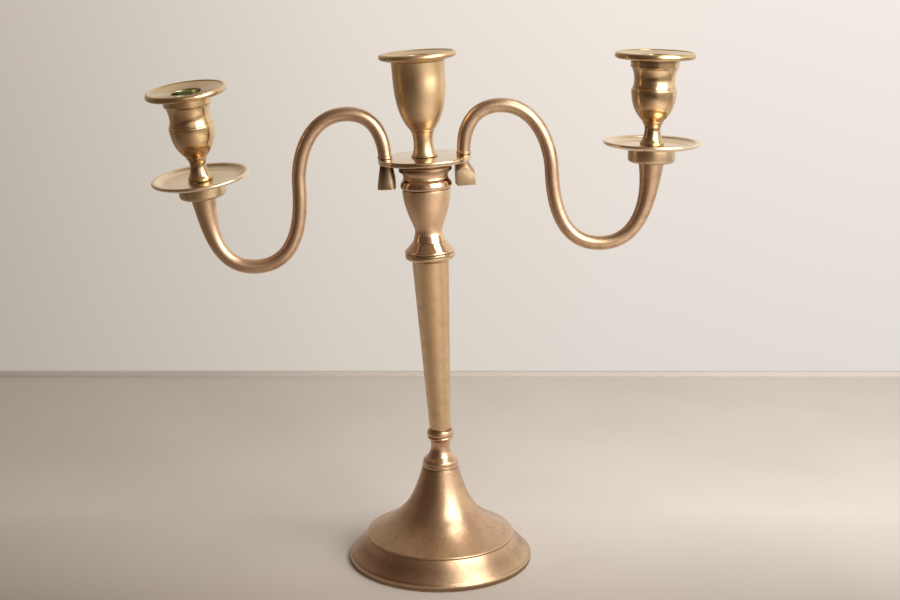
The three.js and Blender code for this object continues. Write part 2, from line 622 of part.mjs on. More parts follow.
function arm(bend) {
  const path = new ArmPath(bend);
  const section = new THREE.Shape().absarc(0, 0, ARM_RADIUS, 0, 2 * Math.PI, false);
  const geometry = new THREE.ExtrudeGeometry(section, {
    steps: ARM_STEPS,
    extrudePath: path,
    curveSegments: ARM_SIDES,
  });
  const centres = path.getSpacedPoints(ARM_STEPS);
  const corners = geometry.attributes.position;
  const corner = new THREE.Vector3();
  for (let index = 0; index < corners.count; index += 1) {
    corner.fromBufferAttribute(corners, index);
    const distances = centres.map((centre) => centre.distanceTo(corner));
    const nearest = distances.indexOf(Math.min(...distances));
    const scale = armRadius(nearest / ARM_STEPS) / ARM_RADIUS;
    corner.sub(centres[nearest]).multiplyScalar(scale).add(centres[nearest]);
    corners.setXYZ(index, corner.x, corner.y, corner.z);
  }
  const root = bend.side * ARM_ROOT;
  const standing = plateTop + GAP;
  const foot = rod(ARM_FOOT_RADIUS, standing, standing + ARM_FOOT, CUP_SIDES / 2).translate(root, 0, 0);
  const spigot = rod(SPIGOT_RADIUS, nutLow + SPIGOT_END, standing + ARM_FOOT / 2).translate(root, 0, 0);
  const hole = studHole(0, -1, SIDE_STUD_RADIUS, SIDE_STUD_DEPTH).applyMatrix4(tipMatrix(bend));
  const solid = toManifold(geometry).add(toManifold(foot)).add(toManifold(spigot));
  return toGeometry(solid.subtract(toManifold(hole)));
}

// The frame at an arm's tip: its Z axis runs on along the tip
function tipMatrix({ side, reach, tipRise, nod }) {
  const turn = new THREE.Euler(degrees(nod), degrees(side * ARM_TIP_LEAN), 0);
  const place = new THREE.Vector3(side * reach, 0, plateTop + tipRise);
  return new THREE.Matrix4().compose(
    place,
    new THREE.Quaternion().setFromEuler(turn),
    new THREE.Vector3(1, 1, 1),
  );
}

// A square nut whose upper end is turned down to a cone and a neck
const nutLow = plateLow - GAP - NUT_HEIGHT;

function armNut({ turn, slope, offset }) {
  const reach = NUT_SIDE; // more than half the diagonal and the cone's offset together
  const coneTop = NUT_HEIGHT - NUT_NECK;
  const coneLow = coneTop - (reach - NUT_NECK_RADIUS) / Math.tan(degrees(slope));
  const end = Math.min(coneLow, 0) - CUT_OVER;
  const outline = new THREE.Path();
  outline.moveTo(0, end);
  outline.lineTo(reach, end);
  outline.lineTo(reach, coneLow);
  outline.lineTo(NUT_NECK_RADIUS, coneTop);
  outline.lineTo(NUT_NECK_RADIUS, NUT_HEIGHT + CUT_OVER);
  outline.lineTo(0, NUT_HEIGHT + CUT_OVER);
  const turned = lathe(outline, CUP_SIDES).translate(offset, 0, 0);
  const blank = nutBlank(4, NUT_SIDE, NUT_HEIGHT, SPIGOT_RADIUS + BORE_SLACK).rotateZ(degrees(turn));
  return toGeometry(toManifold(blank).intersect(toManifold(turned)));
}

// Pieces at an arm's tip, in its frame
const tipCollarLow = GAP;
const panLow = tipCollarLow + TIP_COLLAR_HEIGHT + GAP;
const panFloor = panLow + PAN_THICKNESS;
const sideCupBase = panFloor + GAP;
const sideHole = SIDE_STUD_RADIUS + BORE_SLACK;

function tipCollar() {
  const high = tipCollarLow + TIP_COLLAR_HEIGHT;
  const outline = new THREE.Path();
  outline.moveTo(sideHole, tipCollarLow);
  outline.lineTo(TIP_COLLAR_RADIUS - TIP_COLLAR_ROUND, tipCollarLow);
  outline.quadraticCurveTo(
    TIP_COLLAR_RADIUS, tipCollarLow,
    TIP_COLLAR_RADIUS, tipCollarLow + TIP_COLLAR_ROUND_RISE,
  );
  outline.lineTo(TIP_COLLAR_RADIUS, high);
  outline.lineTo(sideHole, high);
  outline.lineTo(sideHole, tipCollarLow);
  return lathe(outline, CUP_SIDES);
}

function dripPan() {
  const lip = panLow + PAN_LIP_HEIGHT;
  const inner = PAN_RADIUS - PAN_LIP_WIDTH;
  const outline = new THREE.Path();
  outline.moveTo(sideHole, panLow);
  outline.lineTo(inner - PAN_SLOPE, panLow);
  outline.quadraticCurveTo(inner, panLow + PAN_BEND, PAN_RADIUS - PAN_LIP_UNDERCUT, lip - PAN_LIP_FACE);
  outline.lineTo(PAN_RADIUS, lip - PAN_LIP_ROUND);
  outline.lineTo(PAN_RADIUS - PAN_LIP_ROUND / 3, lip - PAN_LIP_ROUND / 3);
  outline.lineTo(PAN_RADIUS - PAN_LIP_ROUND, lip);
  outline.lineTo(inner + PAN_LIP_ROUND, lip - PAN_LIP_ROUND / 3);
  outline.lineTo(inner, lip - PAN_GROOVE);
  outline.quadraticCurveTo(inner - PAN_SLOPE / 2, panFloor, inner - PAN_SLOPE, panFloor);
  outline.lineTo(sideHole, panFloor);
  outline.lineTo(sideHole, panLow);
  return lathe(outline, WIDE_SIDES);
}

function sideCup() {
  const top = SIDE_CUP_HEIGHT;
  const rimLow = top - SIDE_RIM;
  const bandLow = rimLow - SIDE_BAND;
  const outline = new THREE.Path();
  outline.moveTo(0, 0);
  outline.lineTo(SIDE_FOOT_RADIUS, 0);
  outline.lineTo(SIDE_FOOT_RADIUS, SIDE_FOOT);
  outline.quadraticCurveTo(
    SIDE_NECK_RADIUS + SIDE_FOOT_CURVE, SIDE_FOOT_CURVE_HEIGHT,
    SIDE_NECK_RADIUS, SIDE_NECK,
  );
  outline.lineTo(SIDE_NECK_RADIUS + SIDE_NECK_TOP_FLARE, SIDE_NECK_TOP);
  outline.lineTo(SIDE_RING_RADIUS - SIDE_RING_EDGE, SIDE_RING - SIDE_RING_HEIGHT);
  outline.lineTo(SIDE_RING_RADIUS, SIDE_RING);
  outline.bezierCurveTo(
    SIDE_BULGE_RADIUS - SIDE_BULGE_SWELL_IN, SIDE_BULGE_SWELL,
    SIDE_BULGE_RADIUS, SIDE_BULGE_FULL,
    SIDE_BULGE_RADIUS, SIDE_SHOULDER - SIDE_SHOULDER_EDGE,
  );
  outline.lineTo(SIDE_BULGE_RADIUS - SIDE_SHOULDER_EDGE, SIDE_SHOULDER);
  outline.bezierCurveTo(
    SIDE_WAIST_RADIUS, SIDE_WAIST_LOW,
    SIDE_WAIST_RADIUS, SIDE_WAIST_HIGH,
    SIDE_BAND_RADIUS - SIDE_BAND_SLOPE, bandLow - SIDE_BAND_SLOPE,
  );
  outline.lineTo(SIDE_BAND_RADIUS, bandLow);
  outline.lineTo(SIDE_BAND_RADIUS, rimLow);
  rimAndBore(outline, SIDE_RIM_RADIUS, SIDE_RIM, top);
  return toGeometry(cut(lathe(outline, CUP_SIDES), studHole(0, 1, SIDE_STUD_RADIUS, SIDE_STUD_DEPTH)));
}

function sideStud() {
  return rod(SIDE_STUD_RADIUS, -SIDE_STUD_DEPTH, sideCupBase + SIDE_STUD_DEPTH);
}

// Assembly
function raised(mesh, height) {
  mesh.position.z = height;
  return mesh;
}

function tipPieces(bend) {
  const { label } = bend;
  const group = new THREE.Group();
  group.applyMatrix4(tipMatrix(bend));
  group.add(node(`${label}_stud`, sideStud(), "hidden"));
  group.add(node(`${label}_collar`, tipCollar(), "bright"));
  group.add(node(`${label}_pan`, dripPan(), "bright"));
  group.add(raised(node(`${label}_cup`, sideCup(), "bright"), sideCupBase));
  return group;
}

function branch() {
  const group = new THREE.Group();
  group.add(node("branch_plug", branchPlug(), "bright"));
  group.add(node("branch_plate", branchPlate(), "bright"));
  group.add(node("centre_stud", centreStud(), "hidden"));
  const cup = raised(node("centre_cup", centreCup(), "bright"), cupBase);
  cup.translateZ(CENTRE_FOOT_RADIUS * Math.sin(cupLean));
  cup.rotation.y = -cupLean;
  group.add(cup);
  for (const [bend, shape] of [[LEFT_ARM, LEFT_NUT], [RIGHT_ARM, RIGHT_NUT]]) {
    const { label, side } = bend;
    group.add(node(`${label}_arm`, arm(bend), "arm"));
    const nut = node(`${label}_nut`, armNut(shape), "nut");
    nut.position.set(side * ARM_ROOT, 0, nutLow);
    group.add(nut);
    group.add(tipPieces(bend));
  }
  return group;
}

function candelabra() {
  const object = new THREE.Group();
  object.add(node("foot_bell", footBell(), "foot"));
  object.add(node("foot_collar", footCollar(), "foot"));
  object.add(node("foot_washer", footWasher(), "hidden"));
  object.add(node("foot_nut", footNut(), "hidden"));

  const leaning = new THREE.Group();
  leaning.position.z = seatFloor + GAP + STEM_FOOT_RADIUS * Math.sin(stemLean);
  leaning.rotation.set(degrees(-STEM_LEAN_BACK), degrees(-STEM_LEAN), 0);
  leaning.add(node("stem_stud", stud(0, STUD_RADIUS, STUD_DEPTH - 1), "hidden"));
  leaning.add(node("stem", stem(), "stem"));
  leaning.add(node("socket_stud", stud(stemTop + GAP / 2), "hidden"));
  leaning.add(node("stem_socket", stemSocket(), "stem"));

  const turned = branch();
  turned.position.z = socketTop;
  turned.rotation.z = degrees(BRANCH_TURN);
  leaning.add(turned);
  object.add(leaning);
  return object;
}

export default candelabra();
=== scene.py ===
"""Looks of a three-light brass candelabra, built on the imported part.

Sizes in the classes are millimetres and are turned into metres where a mesh is made. The frame is the
part's own: +Z up, the origin at the centre of the foot on the table, the arms along X, the front at -Y.
"""

from __future__ import annotations

import logging
import math
import sys
from collections.abc import Callable
from dataclasses import dataclass, field
from enum import Enum

import bpy
from bpy.types import Material, Modifier, Node, NodeSocket as Socket, Object, World
from mathutils import Matrix, Vector

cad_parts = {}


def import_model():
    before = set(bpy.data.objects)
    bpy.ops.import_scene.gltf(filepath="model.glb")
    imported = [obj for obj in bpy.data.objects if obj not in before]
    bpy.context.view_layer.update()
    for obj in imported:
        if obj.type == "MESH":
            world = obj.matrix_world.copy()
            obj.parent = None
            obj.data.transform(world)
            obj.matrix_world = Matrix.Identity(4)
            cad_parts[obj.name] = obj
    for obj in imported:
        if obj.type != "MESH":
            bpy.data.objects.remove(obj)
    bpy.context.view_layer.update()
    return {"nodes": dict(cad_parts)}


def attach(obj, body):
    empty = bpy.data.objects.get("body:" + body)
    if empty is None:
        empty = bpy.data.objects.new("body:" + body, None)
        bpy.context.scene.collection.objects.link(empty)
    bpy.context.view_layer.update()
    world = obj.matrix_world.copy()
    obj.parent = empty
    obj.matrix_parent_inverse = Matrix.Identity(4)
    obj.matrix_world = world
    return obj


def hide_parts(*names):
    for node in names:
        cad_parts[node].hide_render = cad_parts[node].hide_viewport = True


LOG = logging.getLogger("candelabra")
MM = 0.001
GAP = 0.3  # between two pieces that touch
SPIN_STEPS = 128
RING_SIDES = 48
LEG_STEPS = 200  # fine points along each leg of an arm
WELD = 2e-6  # vertices closer than this are merged, in metres
SHARP = 32  # edges that turn more than this are rounded, in degrees
SMOOTH = 40  # edges that turn less than this are shaded smooth
EDGE = 0.12  # rounding on most turned edges
STUD_HOLE = 3.5  # radius of a stud's hole
STUD_DEPTH = 14.3  # depth of a stud's hole
CANDLE_RADIUS = 11.0
CANDLE_DEPTH = 25.0

Point = tuple[float, float]
Place = tuple[float, float, float]
Colour = tuple[float, float, float]
Shades = tuple[tuple[float, Colour], ...]
Mark = tuple[float, float, float]


class Body(Enum):
    """The rigid bodies of the part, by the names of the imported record."""

    STAND = "stand"
    PLUG = "plug"
    BRANCH = "branch"


class Slot(Enum):
    """The record's material slots."""

    FOOT = "foot"
    STEM = "stem"
    BRIGHT = "bright"
    ARM = "arm"
    NUT = "nut"


class Side(Enum):
    """The side an arm stands on, as the sign of its X."""

    LEFT = -1
    RIGHT = 1

    @property
    def label(self) -> str:
        """The start of the side's piece names."""
        return self.name.lower()


@dataclass
class Outline:
    """The half section of a turned piece, as points of radius and height."""

    points: list[Point] = field(default_factory=list)

    def to(self, *points: Point) -> Outline:
        """Adds straight runs through the points."""
        self.points.extend(points)
        return self

    def bow(self, control: Point, end: Point, steps: int = 6) -> Outline:
        """Adds a curve with one control point."""
        return self._bend((self.points[-1], control, end), steps)

    def curve(self, first: Point, second: Point, end: Point, steps: int) -> Outline:
        """Adds a curve with two control points."""
        return self._bend((self.points[-1], first, second, end), steps)

    def _bend(self, points: tuple[Point, ...], steps: int) -> Outline:
        """Adds a curve.

        Args:
            points: its start, its control points and its end.
            steps: how many straight pieces stand for it.

        Returns:
            The outline itself.
        """
        order = len(points) - 1
        for step in range(1, steps + 1):
            t = step / steps
            weights = [math.comb(order, k) * (1 - t) ** (order - k) * t**k for k in range(order + 1)]
            radius = sum(w * p[0] for w, p in zip(weights, points))
            height = sum(w * p[1] for w, p in zip(weights, points))
            self.points.append((radius, height))
        return self


def clear_selection() -> None:
    """Leaves edit mode and deselects every object."""
    if bpy.context.object is not None and bpy.context.object.mode != "OBJECT":
        bpy.ops.object.mode_set(mode="OBJECT")
    bpy.ops.object.select_all(action="DESELECT")


def pick(piece: Object) -> None:
    """Makes a piece the active and only selected one.

    Args:
        piece: the piece.
    """
    clear_selection()
    bpy.context.view_layer.objects.active = piece
    piece.select_set(True)


def name_piece(piece: Object, name: str) -> None:
    """Names an object and its mesh."""
    piece.name = name
    piece.data.name = name


def slab(make: Callable, name: str, size: Place, centre: Place, turn: float = 0.0) -> Object:
    """Makes a plain plane or block.

    Args:
        make: the operator that adds its basic form.
        name: its name.
        size: its size along X, Y and Z, in metres.
        centre: its centre, in metres.
        turn: about Z, in degrees.

    Returns:
        The object, with its size and place in its mesh.
    """
    clear_selection()
    make(size=1)
    piece = bpy.context.object
    name_piece(piece, name)
    piece.scale = size
    piece.location = centre
    piece.rotation_euler = (0, 0, math.radians(turn))
    bpy.ops.object.transform_apply(location=True, rotation=True, scale=True)
    return piece


def turned(name: str, outline: Outline, edge: float = EDGE) -> Object:
    """Turns a piece on the Z axis: a vertex is extruded along the outline and the line is spun.

    Args:
        name: the piece's name.
        outline: its half section. It starts and ends on the axis, or closes on itself.
        edge: width of the rounding on its sharp edges, or 0 for none.

    Returns:
        The piece, at the origin.
    """
    clear_selection()
    bpy.ops.mesh.primitive_plane_add(size=MM)
    piece = bpy.context.object
    name_piece(piece, name)
    bpy.ops.object.mode_set(mode="EDIT")
    bpy.ops.mesh.select_all(action="SELECT")
    bpy.ops.mesh.merge(type="CENTER")
    radius, height = outline.points[0]
    bpy.ops.transform.translate(value=(radius * MM, 0, height * MM))
    for here, there in zip(outline.points, outline.points[1:]):
        move = ((there[0] - here[0]) * MM, 0, (there[1] - here[1]) * MM)
        bpy.ops.mesh.extrude_region_move(TRANSFORM_OT_translate={"value": move})
    bpy.ops.mesh.select_all(action="SELECT")
    bpy.ops.mesh.spin(steps=SPIN_STEPS, angle=2 * math.pi, center=(0, 0, 0), axis=(0, 0, 1))
    close_mesh()
    if edge:
        round_edges(piece, edge)
    smooth(piece)
    return piece


def close_mesh() -> None:
    """Merges doubled vertices, turns the faces outwards and leaves edit mode."""
    bpy.ops.mesh.select_all(action="SELECT")
    bpy.ops.mesh.remove_doubles(threshold=WELD)
    bpy.ops.mesh.normals_make_consistent(inside=False)
    bpy.ops.object.mode_set(mode="OBJECT")


def round_edges(piece: Object, width: float) -> None:
    """Rounds a piece's sharp edges.

    Args:
        piece: the piece.
        width: of the bevel, in millimetres.
    """
    bevel = piece.modifiers.new("edges", "BEVEL")
    bevel.width = width * MM
    bevel.segments = 3
    bevel.limit_method = "ANGLE"
    bevel.angle_limit = math.radians(SHARP)
    bevel.harden_normals = False
    apply(piece, bevel)


def apply(piece: Object, modifier: Modifier) -> None:
    """Applies a modifier to its piece."""
    pick(piece)
    bpy.ops.object.modifier_apply(modifier=modifier.name)


def smooth(piece: Object) -> None:
    """Shades a piece smooth but for its sharp edges."""
    pick(piece)
    bpy.ops.object.shade_smooth_by_angle(angle=math.radians(SMOOTH))


def place(piece: Object, where: Matrix) -> None:
    """Moves a piece's mesh to its place and leaves its object at the origin.

    Args:
        piece: a piece made at the origin.
        where: its place in the part's frame, in metres.
    """
    pick(piece)
    piece.matrix_world = where
    bpy.ops.object.transform_apply(location=True, rotation=True, scale=True)


def cut(piece: Object, tool: Object, operation: str) -> None:
    """Cuts a piece with a tool and takes the tool away.

    Args:
        piece: the piece.
        tool: the object to cut with.
        operation: DIFFERENCE cuts away what is inside the tool, and INTERSECT what is outside.
    """
    change = piece.modifiers.new("cut", "BOOLEAN")
    change.operation = operation
    change.solver = "EXACT"
    change.object = tool
    apply(piece, change)
    bpy.data.objects.remove(tool)


def drill(piece: Object, radius: float, low: float, high: float, across: float = 0.0) -> None:
    """Drills an upright hole through a piece.

    Args:
        piece: a piece made at the origin.
        radius: the hole's radius.
        low: where the hole starts.
        high: where it ends.
        across: its place along X.
    """
    clear_selection()
    bpy.ops.mesh.primitive_cylinder_add(
        vertices=RING_SIDES,
        radius=radius * MM,
        depth=(high - low) * MM,
        location=(across * MM, 0, (high + low) / 2 * MM),
    )
    cut(piece, bpy.context.object, "DIFFERENCE")


def bent(name: str, path: list[Vector], radii: list[float], hole: Point) -> Object:
    """Draws a round rod along a path that starts straight up, ring by ring.

    Args:
        name: the piece's name.
        path: the centres of its rings, in millimetres.
        radii: the radius at each centre.
        hole: radius and depth of the hole in its far end.

    Returns:
        The rod, where its path lies.
    """
    clear_selection()
    start = path[0] * MM
    bpy.ops.mesh.primitive_circle_add(
        vertices=RING_SIDES, radius=radii[0] * MM, fill_type="NGON", location=start
    )
    rod = bpy.context.object
    name_piece(rod, name)
    bpy.ops.object.transform_apply(location=True, rotation=True, scale=True)
    bpy.ops.object.mode_set(mode="EDIT")
    bpy.ops.mesh.select_all(action="SELECT")
    heading = Vector((0, 0, 1))
    for index in range(1, len(path)):
        centre = path[index] * MM
        move = centre - path[index - 1] * MM
        bpy.ops.mesh.extrude_region_move(TRANSFORM_OT_translate={"value": move})
        ahead = path[min(index + 1, len(path) - 1)] - path[index - 1]
        heading = turn_ring(heading, ahead.normalized(), centre)
        ratio = radii[index] / radii[index - 1]
        bpy.ops.transform.resize(value=(ratio, ratio, ratio), center_override=centre)
    end = path[-1] * MM
    ratio = hole[0] / radii[-1]
    bpy.ops.mesh.extrude_region_move(TRANSFORM_OT_translate={"value": (0, 0, 0)})
    bpy.ops.transform.resize(value=(ratio, ratio, ratio), center_override=end)
    sink = heading * -hole[1] * MM
    bpy.ops.mesh.extrude_region_move(TRANSFORM_OT_translate={"value": sink})
    close_mesh()
    smooth(rod)
    return rod


def turn_ring(old: Vector, new: Vector, centre: Vector) -> Vector:
    """Turns the selected ring from one heading to the next, about Y and then about X.

    Args:
        old: the ring's heading.
        new: the heading it gets.
        centre: the ring's centre, in metres.

    Returns:
        The new heading.
    """
    about_y = math.atan2(new.x, new.z) - math.atan2(old.x, old.z)
    about_y = (about_y + math.pi) % (2 * math.pi) - math.pi
    about_x = math.asin(-new.y) - math.asin(-old.y)
    bpy.ops.transform.rotate(value=-about_y, orient_axis="Y", center_override=centre)
    if new.z > 0.7:  # only the end that rises to the cup nods
        bpy.ops.transform.rotate(value=-about_x, orient_axis="X", center_override=centre)
    return new


class NodePad:
    """Adds and joins the nodes of one material or world."""

    def __init__(self, owner: Material | World) -> None:
        """Starts on an emptied tree.

        Args:
            owner: whose nodes they are.
        """
        owner.use_nodes = True
        self.tree = owner.node_tree
        self.tree.nodes.clear()

    def add(self, kind: str, inputs: dict | None = None, **settings: object) -> Node:
        """Adds a node.

        Args:
            kind: the node's type name, without the ShaderNode in front.
            inputs: values or sockets for its inputs, by name or number.
            settings: its other properties.

        Returns:
            The node.
        """
        made = self.tree.nodes.new("ShaderNode" + kind)
        for key, value in settings.items():
            setattr(made, key, value)
        for key, value in (inputs or {}).items():
            if isinstance(value, Socket):
                self.tree.links.new(value, made.inputs[key])
            else:
                made.inputs[key].default_value = value
        return made

    def math(self, operation: str, *values: object, clamp: bool = False) -> Socket:
        """Adds a Math node on the values or sockets and returns its result."""
        return self.add("Math", dict(enumerate(values)), operation=operation, use_clamp=clamp).outputs[0]

    def times(self, first: object, second: object, plus: object = 0.0, clamp: bool = False) -> Socket:
        """Multiplies two values or sockets, adds a third and returns the result."""
        return self.math("MULTIPLY_ADD", first, second, plus, clamp=clamp)

    def mix(self, factor: object, first: object, second: object, blend: str = "MIX") -> Socket:
        """Mixes two colours by a factor and returns the result."""
        inputs = {"Factor": factor, 6: self._opaque(first), 7: self._opaque(second)}
        return self.add("Mix", inputs, data_type="RGBA", blend_type=blend).outputs[2]

    def noise(self, vector: Socket, size: float, detail: float, rough: float) -> Socket:
        """Adds a noise whose patches are about size millimetres wide, and returns its height."""
        inputs = {"Vector": vector, "Scale": 1 / size, "Detail": detail, "Roughness": rough}
        return self.add("TexNoise", inputs).outputs["Fac"]

    def shades(self, value: object, stops: Shades) -> Socket:
        """Maps a value through coloured stops.

        Args:
            value: the socket to map.
            stops: positions from 0 to 1, rising, with their colours.

        Returns:
            The colour at the value.
        """
        made = self.add("ValToRGB", {0: value})
        elements = made.color_ramp.elements
        elements[0].position, elements[1].position = stops[0][0], stops[-1][0]
        for position, _ in stops[1:-1]:
            elements.new(position)
        for element, (_, colour) in zip(elements, stops):
            element.color = (*colour, 1)
        return made.outputs[0]

    def ramp(self, value: object, *stops: Point) -> Socket:
        """Maps a value through grey stops of position and level."""
        return self.shades(value, tuple((position, (level,) * 3) for position, level in stops))

    def by_height(self, height: Socket, stops: list[Point]) -> Socket:
        """Maps a height through grey stops.

        Args:
            height: the socket to map.
            stops: heights, rising, with their levels.

        Returns:
            The level at the height.
        """
        low, high = stops[0][0], stops[-1][0]
        share = self.add("MapRange", {"Value": height, "From Min": low, "From Max": high}).outputs[0]
        return self.ramp(share, *(((at - low) / (high - low), level) for at, level in stops))

    def local(self, where: Matrix) -> Socket:
        """Gives a piece's own coordinates.

        Args:
            where: the place it was moved to.

        Returns:
            The coordinates it was made in, in millimetres.
        """
        source = self.add("TexCoord").outputs["Object"]
        inputs = {"Vector": source, "Location": where.to_translation(), "Rotation": where.to_euler()}
        turn = self.add("Mapping", inputs, vector_type="TEXTURE").outputs[0]
        return self.add("VectorMath", {0: turn, "Scale": 1 / MM}, operation="SCALE").outputs[0]

    def surface(self, tone: Socket, rough: Socket, **inputs: object) -> None:
        """Ends a material in a shader of that colour and roughness, with further inputs by name."""
        shader = self.add("BsdfPrincipled", {"Base Color": tone, "Roughness": rough, **inputs})
        self.add("OutputMaterial", {"Surface": shader.outputs[0]})

    @staticmethod
    def _opaque(value: object) -> object:
        """Gives a plain colour its alpha."""
        return (*value, 1) if isinstance(value, tuple) and len(value) == 3 else value


class BrassPad(NodePad):
    """The nodes of one brass piece, on the piece's own coordinates in millimetres."""

    def __init__(self, owner: Material, brass: AgedBrass, where: Matrix) -> None:
        """Starts on a material's emptied tree.

        Args:
            owner: the material.
            brass: the finish it shows.
            where: the piece's place, whose Z is the axis it was turned on.
        """
        super().__init__(owner)
        self.brass = brass
        self.point = self.local(where)
        split = self.add("SeparateXYZ", {0: self.point}).outputs
        self.height = split[2]
        across = self.math("POWER", split[0], 2)
        self.radius = self.math("SQRT", self.times(split[1], split[1], across))

    def bands(self, spans: tuple[Point, ...]) -> Socket:
        """Marks bands round the piece, with soft edges.

        Args:
            spans: the heights at which each band starts and ends.

        Returns:
            1 in the bands and 0 elsewhere.
        """
        stops: list[Point] = [(spans[0][0] - 1, 0)]
        for start, end in spans:
            stops += [(start - 0.3, 0), (start + 0.1, 1), (end - 0.1, 1), (end + 0.3, 0)]
        return self.by_height(self.height, [*stops, (spans[-1][1] + 1, 0)])

    def rings(self, marks: list[Mark]) -> Socket:
        """Draws the rings of painted shade and painted highlight, with a ragged edge.

        Args:
            marks: the rings as (height, half width, level).

        Returns:
            The level of the ring, and 0.5 where there is none.
        """
        ragged = self.times(self.noise(self.point, self.brass.ragged_size, 4, 0.6), 0.9, self.height)
        ragged = self.math("SUBTRACT", ragged, 0.45)
        ordered = sorted(marks)
        stops: list[Point] = [(ordered[0][0] - ordered[0][1] - 1, 0.5)]
        for at, width, level in ordered:
            stops += [(at - width, 0.5), (at, level), (at + width, 0.5)]
        return self.by_height(ragged, [*stops, (ordered[-1][0] + ordered[-1][1] + 1, 0.5)])

    def pits(self) -> Socket:
        """Scatters small pits, each from its own cell, over a part of the surface.

        Returns:
            1 in the pits and 0 elsewhere.
        """
        inputs = {"Vector": self.point, "Scale": 1 / self.brass.pit_spacing, "Randomness": 1.0}
        cells = self.add("TexVoronoi", inputs)
        spot = self.ramp(cells.outputs["Distance"], (0.07, 1), (0.13, 0))
        chance = self.add("SeparateColor", {0: cells.outputs["Color"]}).outputs[0]
        return self.times(spot, self.math("GREATER_THAN", chance, 0.8))

    def lines(self) -> Socket:
        """Draws the fine lines of turning round the piece's axis.

        Returns:
            How deep the lines are, from 0 to 1.
        """
        travel = self.math("ADD", self.height, self.radius)
        inputs = {"W": travel, "Scale": self.brass.line_pitch, "Detail": 3.0, "Roughness": 0.7}
        lines = self.add("TexNoise", inputs, noise_dimensions="1D")
        return self.ramp(lines.outputs["Fac"], (0.42, 0), (0.75, 1))

    def bump(self, lines: Socket, pits: Socket) -> Socket:
        """Joins lines, grain, dents and pits into one bump.

        Args:
            lines: how deep the turned lines are.
            pits: where the pits are.

        Returns:
            The normal for the shader.
        """
        brass = self.brass
        depth = self.times(lines, -brass.line_depth * brass.lines)
        grain = self.noise(self.point, brass.grain_size, 5, 0.65)
        depth = self.times(grain, brass.grain_depth * brass.grain, depth)
        dents = self.noise(self.point, brass.dent_size, 2, 0.5)
        depth = self.times(dents, brass.dent_depth * brass.dents, depth)
        depth = self.times(pits, -brass.pit_depth, depth)
        return self.add("Bump", {"Height": depth, "Distance": MM, "Strength": 1.0}).outputs[0]


@dataclass(frozen=True)
class AgedBrass:
    """Old brass, half polished: a warm and a yellow tone in clouds, tarnish, pits and fine lines."""

    warm: Colour
    yellow: Colour
    tarnish: Colour = (0.25, 0.155, 0.095)
    pit: Colour = (0.10, 0.06, 0.04)
    # The next two colours paint the marks' rings: painted shade in grooves, at joints and under edges, and
    # painted highlights along edges.
    groove: Colour = (0.085, 0.05, 0.03)
    painted_highlight: Colour = (0.86, 0.68, 0.46)
    verdigris: Colour = (0.22, 0.33, 0.20)
    roughness: float = 0.2
    tarnished: float = 0.35  # how much of the tarnish shows
    lines: float = 0.5  # share of line_depth that it has
    grain: float = 0.5  # share of grain_depth
    dents: float = 1.0  # share of dent_depth
    pitted: float = 0.7  # how dark the pits are
    cloud_size: float = 22  # widths of the patterns' patches, in millimetres
    stain_size: float = 7.5
    smear_size: float = 3.2
    speck_size: float = 2.6
    ragged_size: float = 2.4
    dent_size: float = 9
    grain_size: float = 0.7
    pit_spacing: float = 3.4
    line_pitch: float = 2.6  # turned lines in a millimetre
    line_depth: float = 0.010  # depths of the bumps, in millimetres
    grain_depth: float = 0.010
    dent_depth: float = 0.07
    pit_depth: float = 0.05
    polished: tuple[Point, ...] = ()  # heights between which it is rubbed to a mirror
    green: tuple[Point, ...] = ()  # heights between which verdigris sits in the candle bore

    def dress(self, piece: Object, where: Matrix, marks: list[Mark]) -> None:
        """Moves a piece to its place and gives it this finish.

        Args:
            piece: a piece made at the origin.
            where: its place, whose Z becomes the axis it was turned on.
            marks: rings on it as (height, half width, level), in millimetres. A level below 0.5 is
            painted shade, darkened towards the groove colour, and one above it is a painted highlight.
        """
        place(piece, where)
        material = bpy.data.materials.new(piece.name + "_finish")
        pad = BrassPad(material, self, where)
        clouds = pad.noise(pad.point, self.cloud_size, 3, 0.55)
        tone = pad.mix(pad.ramp(clouds, (0.38, 0), (0.62, 1)), self.warm, self.yellow)
        stains = pad.noise(pad.point, self.stain_size, 7, 0.62)
        stain = pad.times(pad.ramp(stains, (0.47, 0), (0.72, 1)), self.tarnished)
        tone = pad.mix(stain, tone, self.tarnish)
        pits, lines = pad.pits(), pad.lines()
        tone = pad.mix(pad.times(pits, self.pitted), tone, self.pit)
        tone = pad.mix(pad.times(lines, 0.10), tone, self.tarnish)
        if marks:
            ring = pad.rings(marks)
            # Rings below 0.5 are painted shade and rings above it are painted highlights.
            dark = pad.times(pad.math("SUBTRACT", 0.5, ring, clamp=True), 1.7)
            light = pad.times(pad.math("SUBTRACT", ring, 0.5, clamp=True), 1.2)
            tone = pad.mix(light, pad.mix(dark, tone, self.groove), self.painted_highlight)
        if self.green:
            speck = pad.ramp(pad.noise(pad.point, self.speck_size, 5, 0.6), (0.38, 0), (0.55, 0.85))
            inside = pad.math("LESS_THAN", pad.radius, CANDLE_RADIUS + 0.8)
            factor = pad.times(pad.times(speck, inside), pad.bands(self.green))
            tone = pad.mix(factor, tone, self.verdigris)
        rough = pad.times(stain, 0.25, self.roughness)
        rough = pad.times(pad.noise(pad.point, self.smear_size, 4, 0.6), 0.10, rough, clamp=True)
        if self.polished:
            rough = pad.times(rough, pad.times(pad.bands(self.polished), -0.68, 1.0))
        pad.surface(tone, rough, Metallic=1.0, Normal=pad.bump(lines, pits))
        piece.data.materials.clear()
        piece.data.materials.append(material)


def shift(x: float, z: float) -> Matrix:
    """A move along X and Z, given in millimetres."""
    return Matrix.Translation((x * MM, 0, z * MM))


def tilt(degrees: float, axis: str) -> Matrix:
    """A turn about an axis."""
    return Matrix.Rotation(math.radians(degrees), 4, axis)


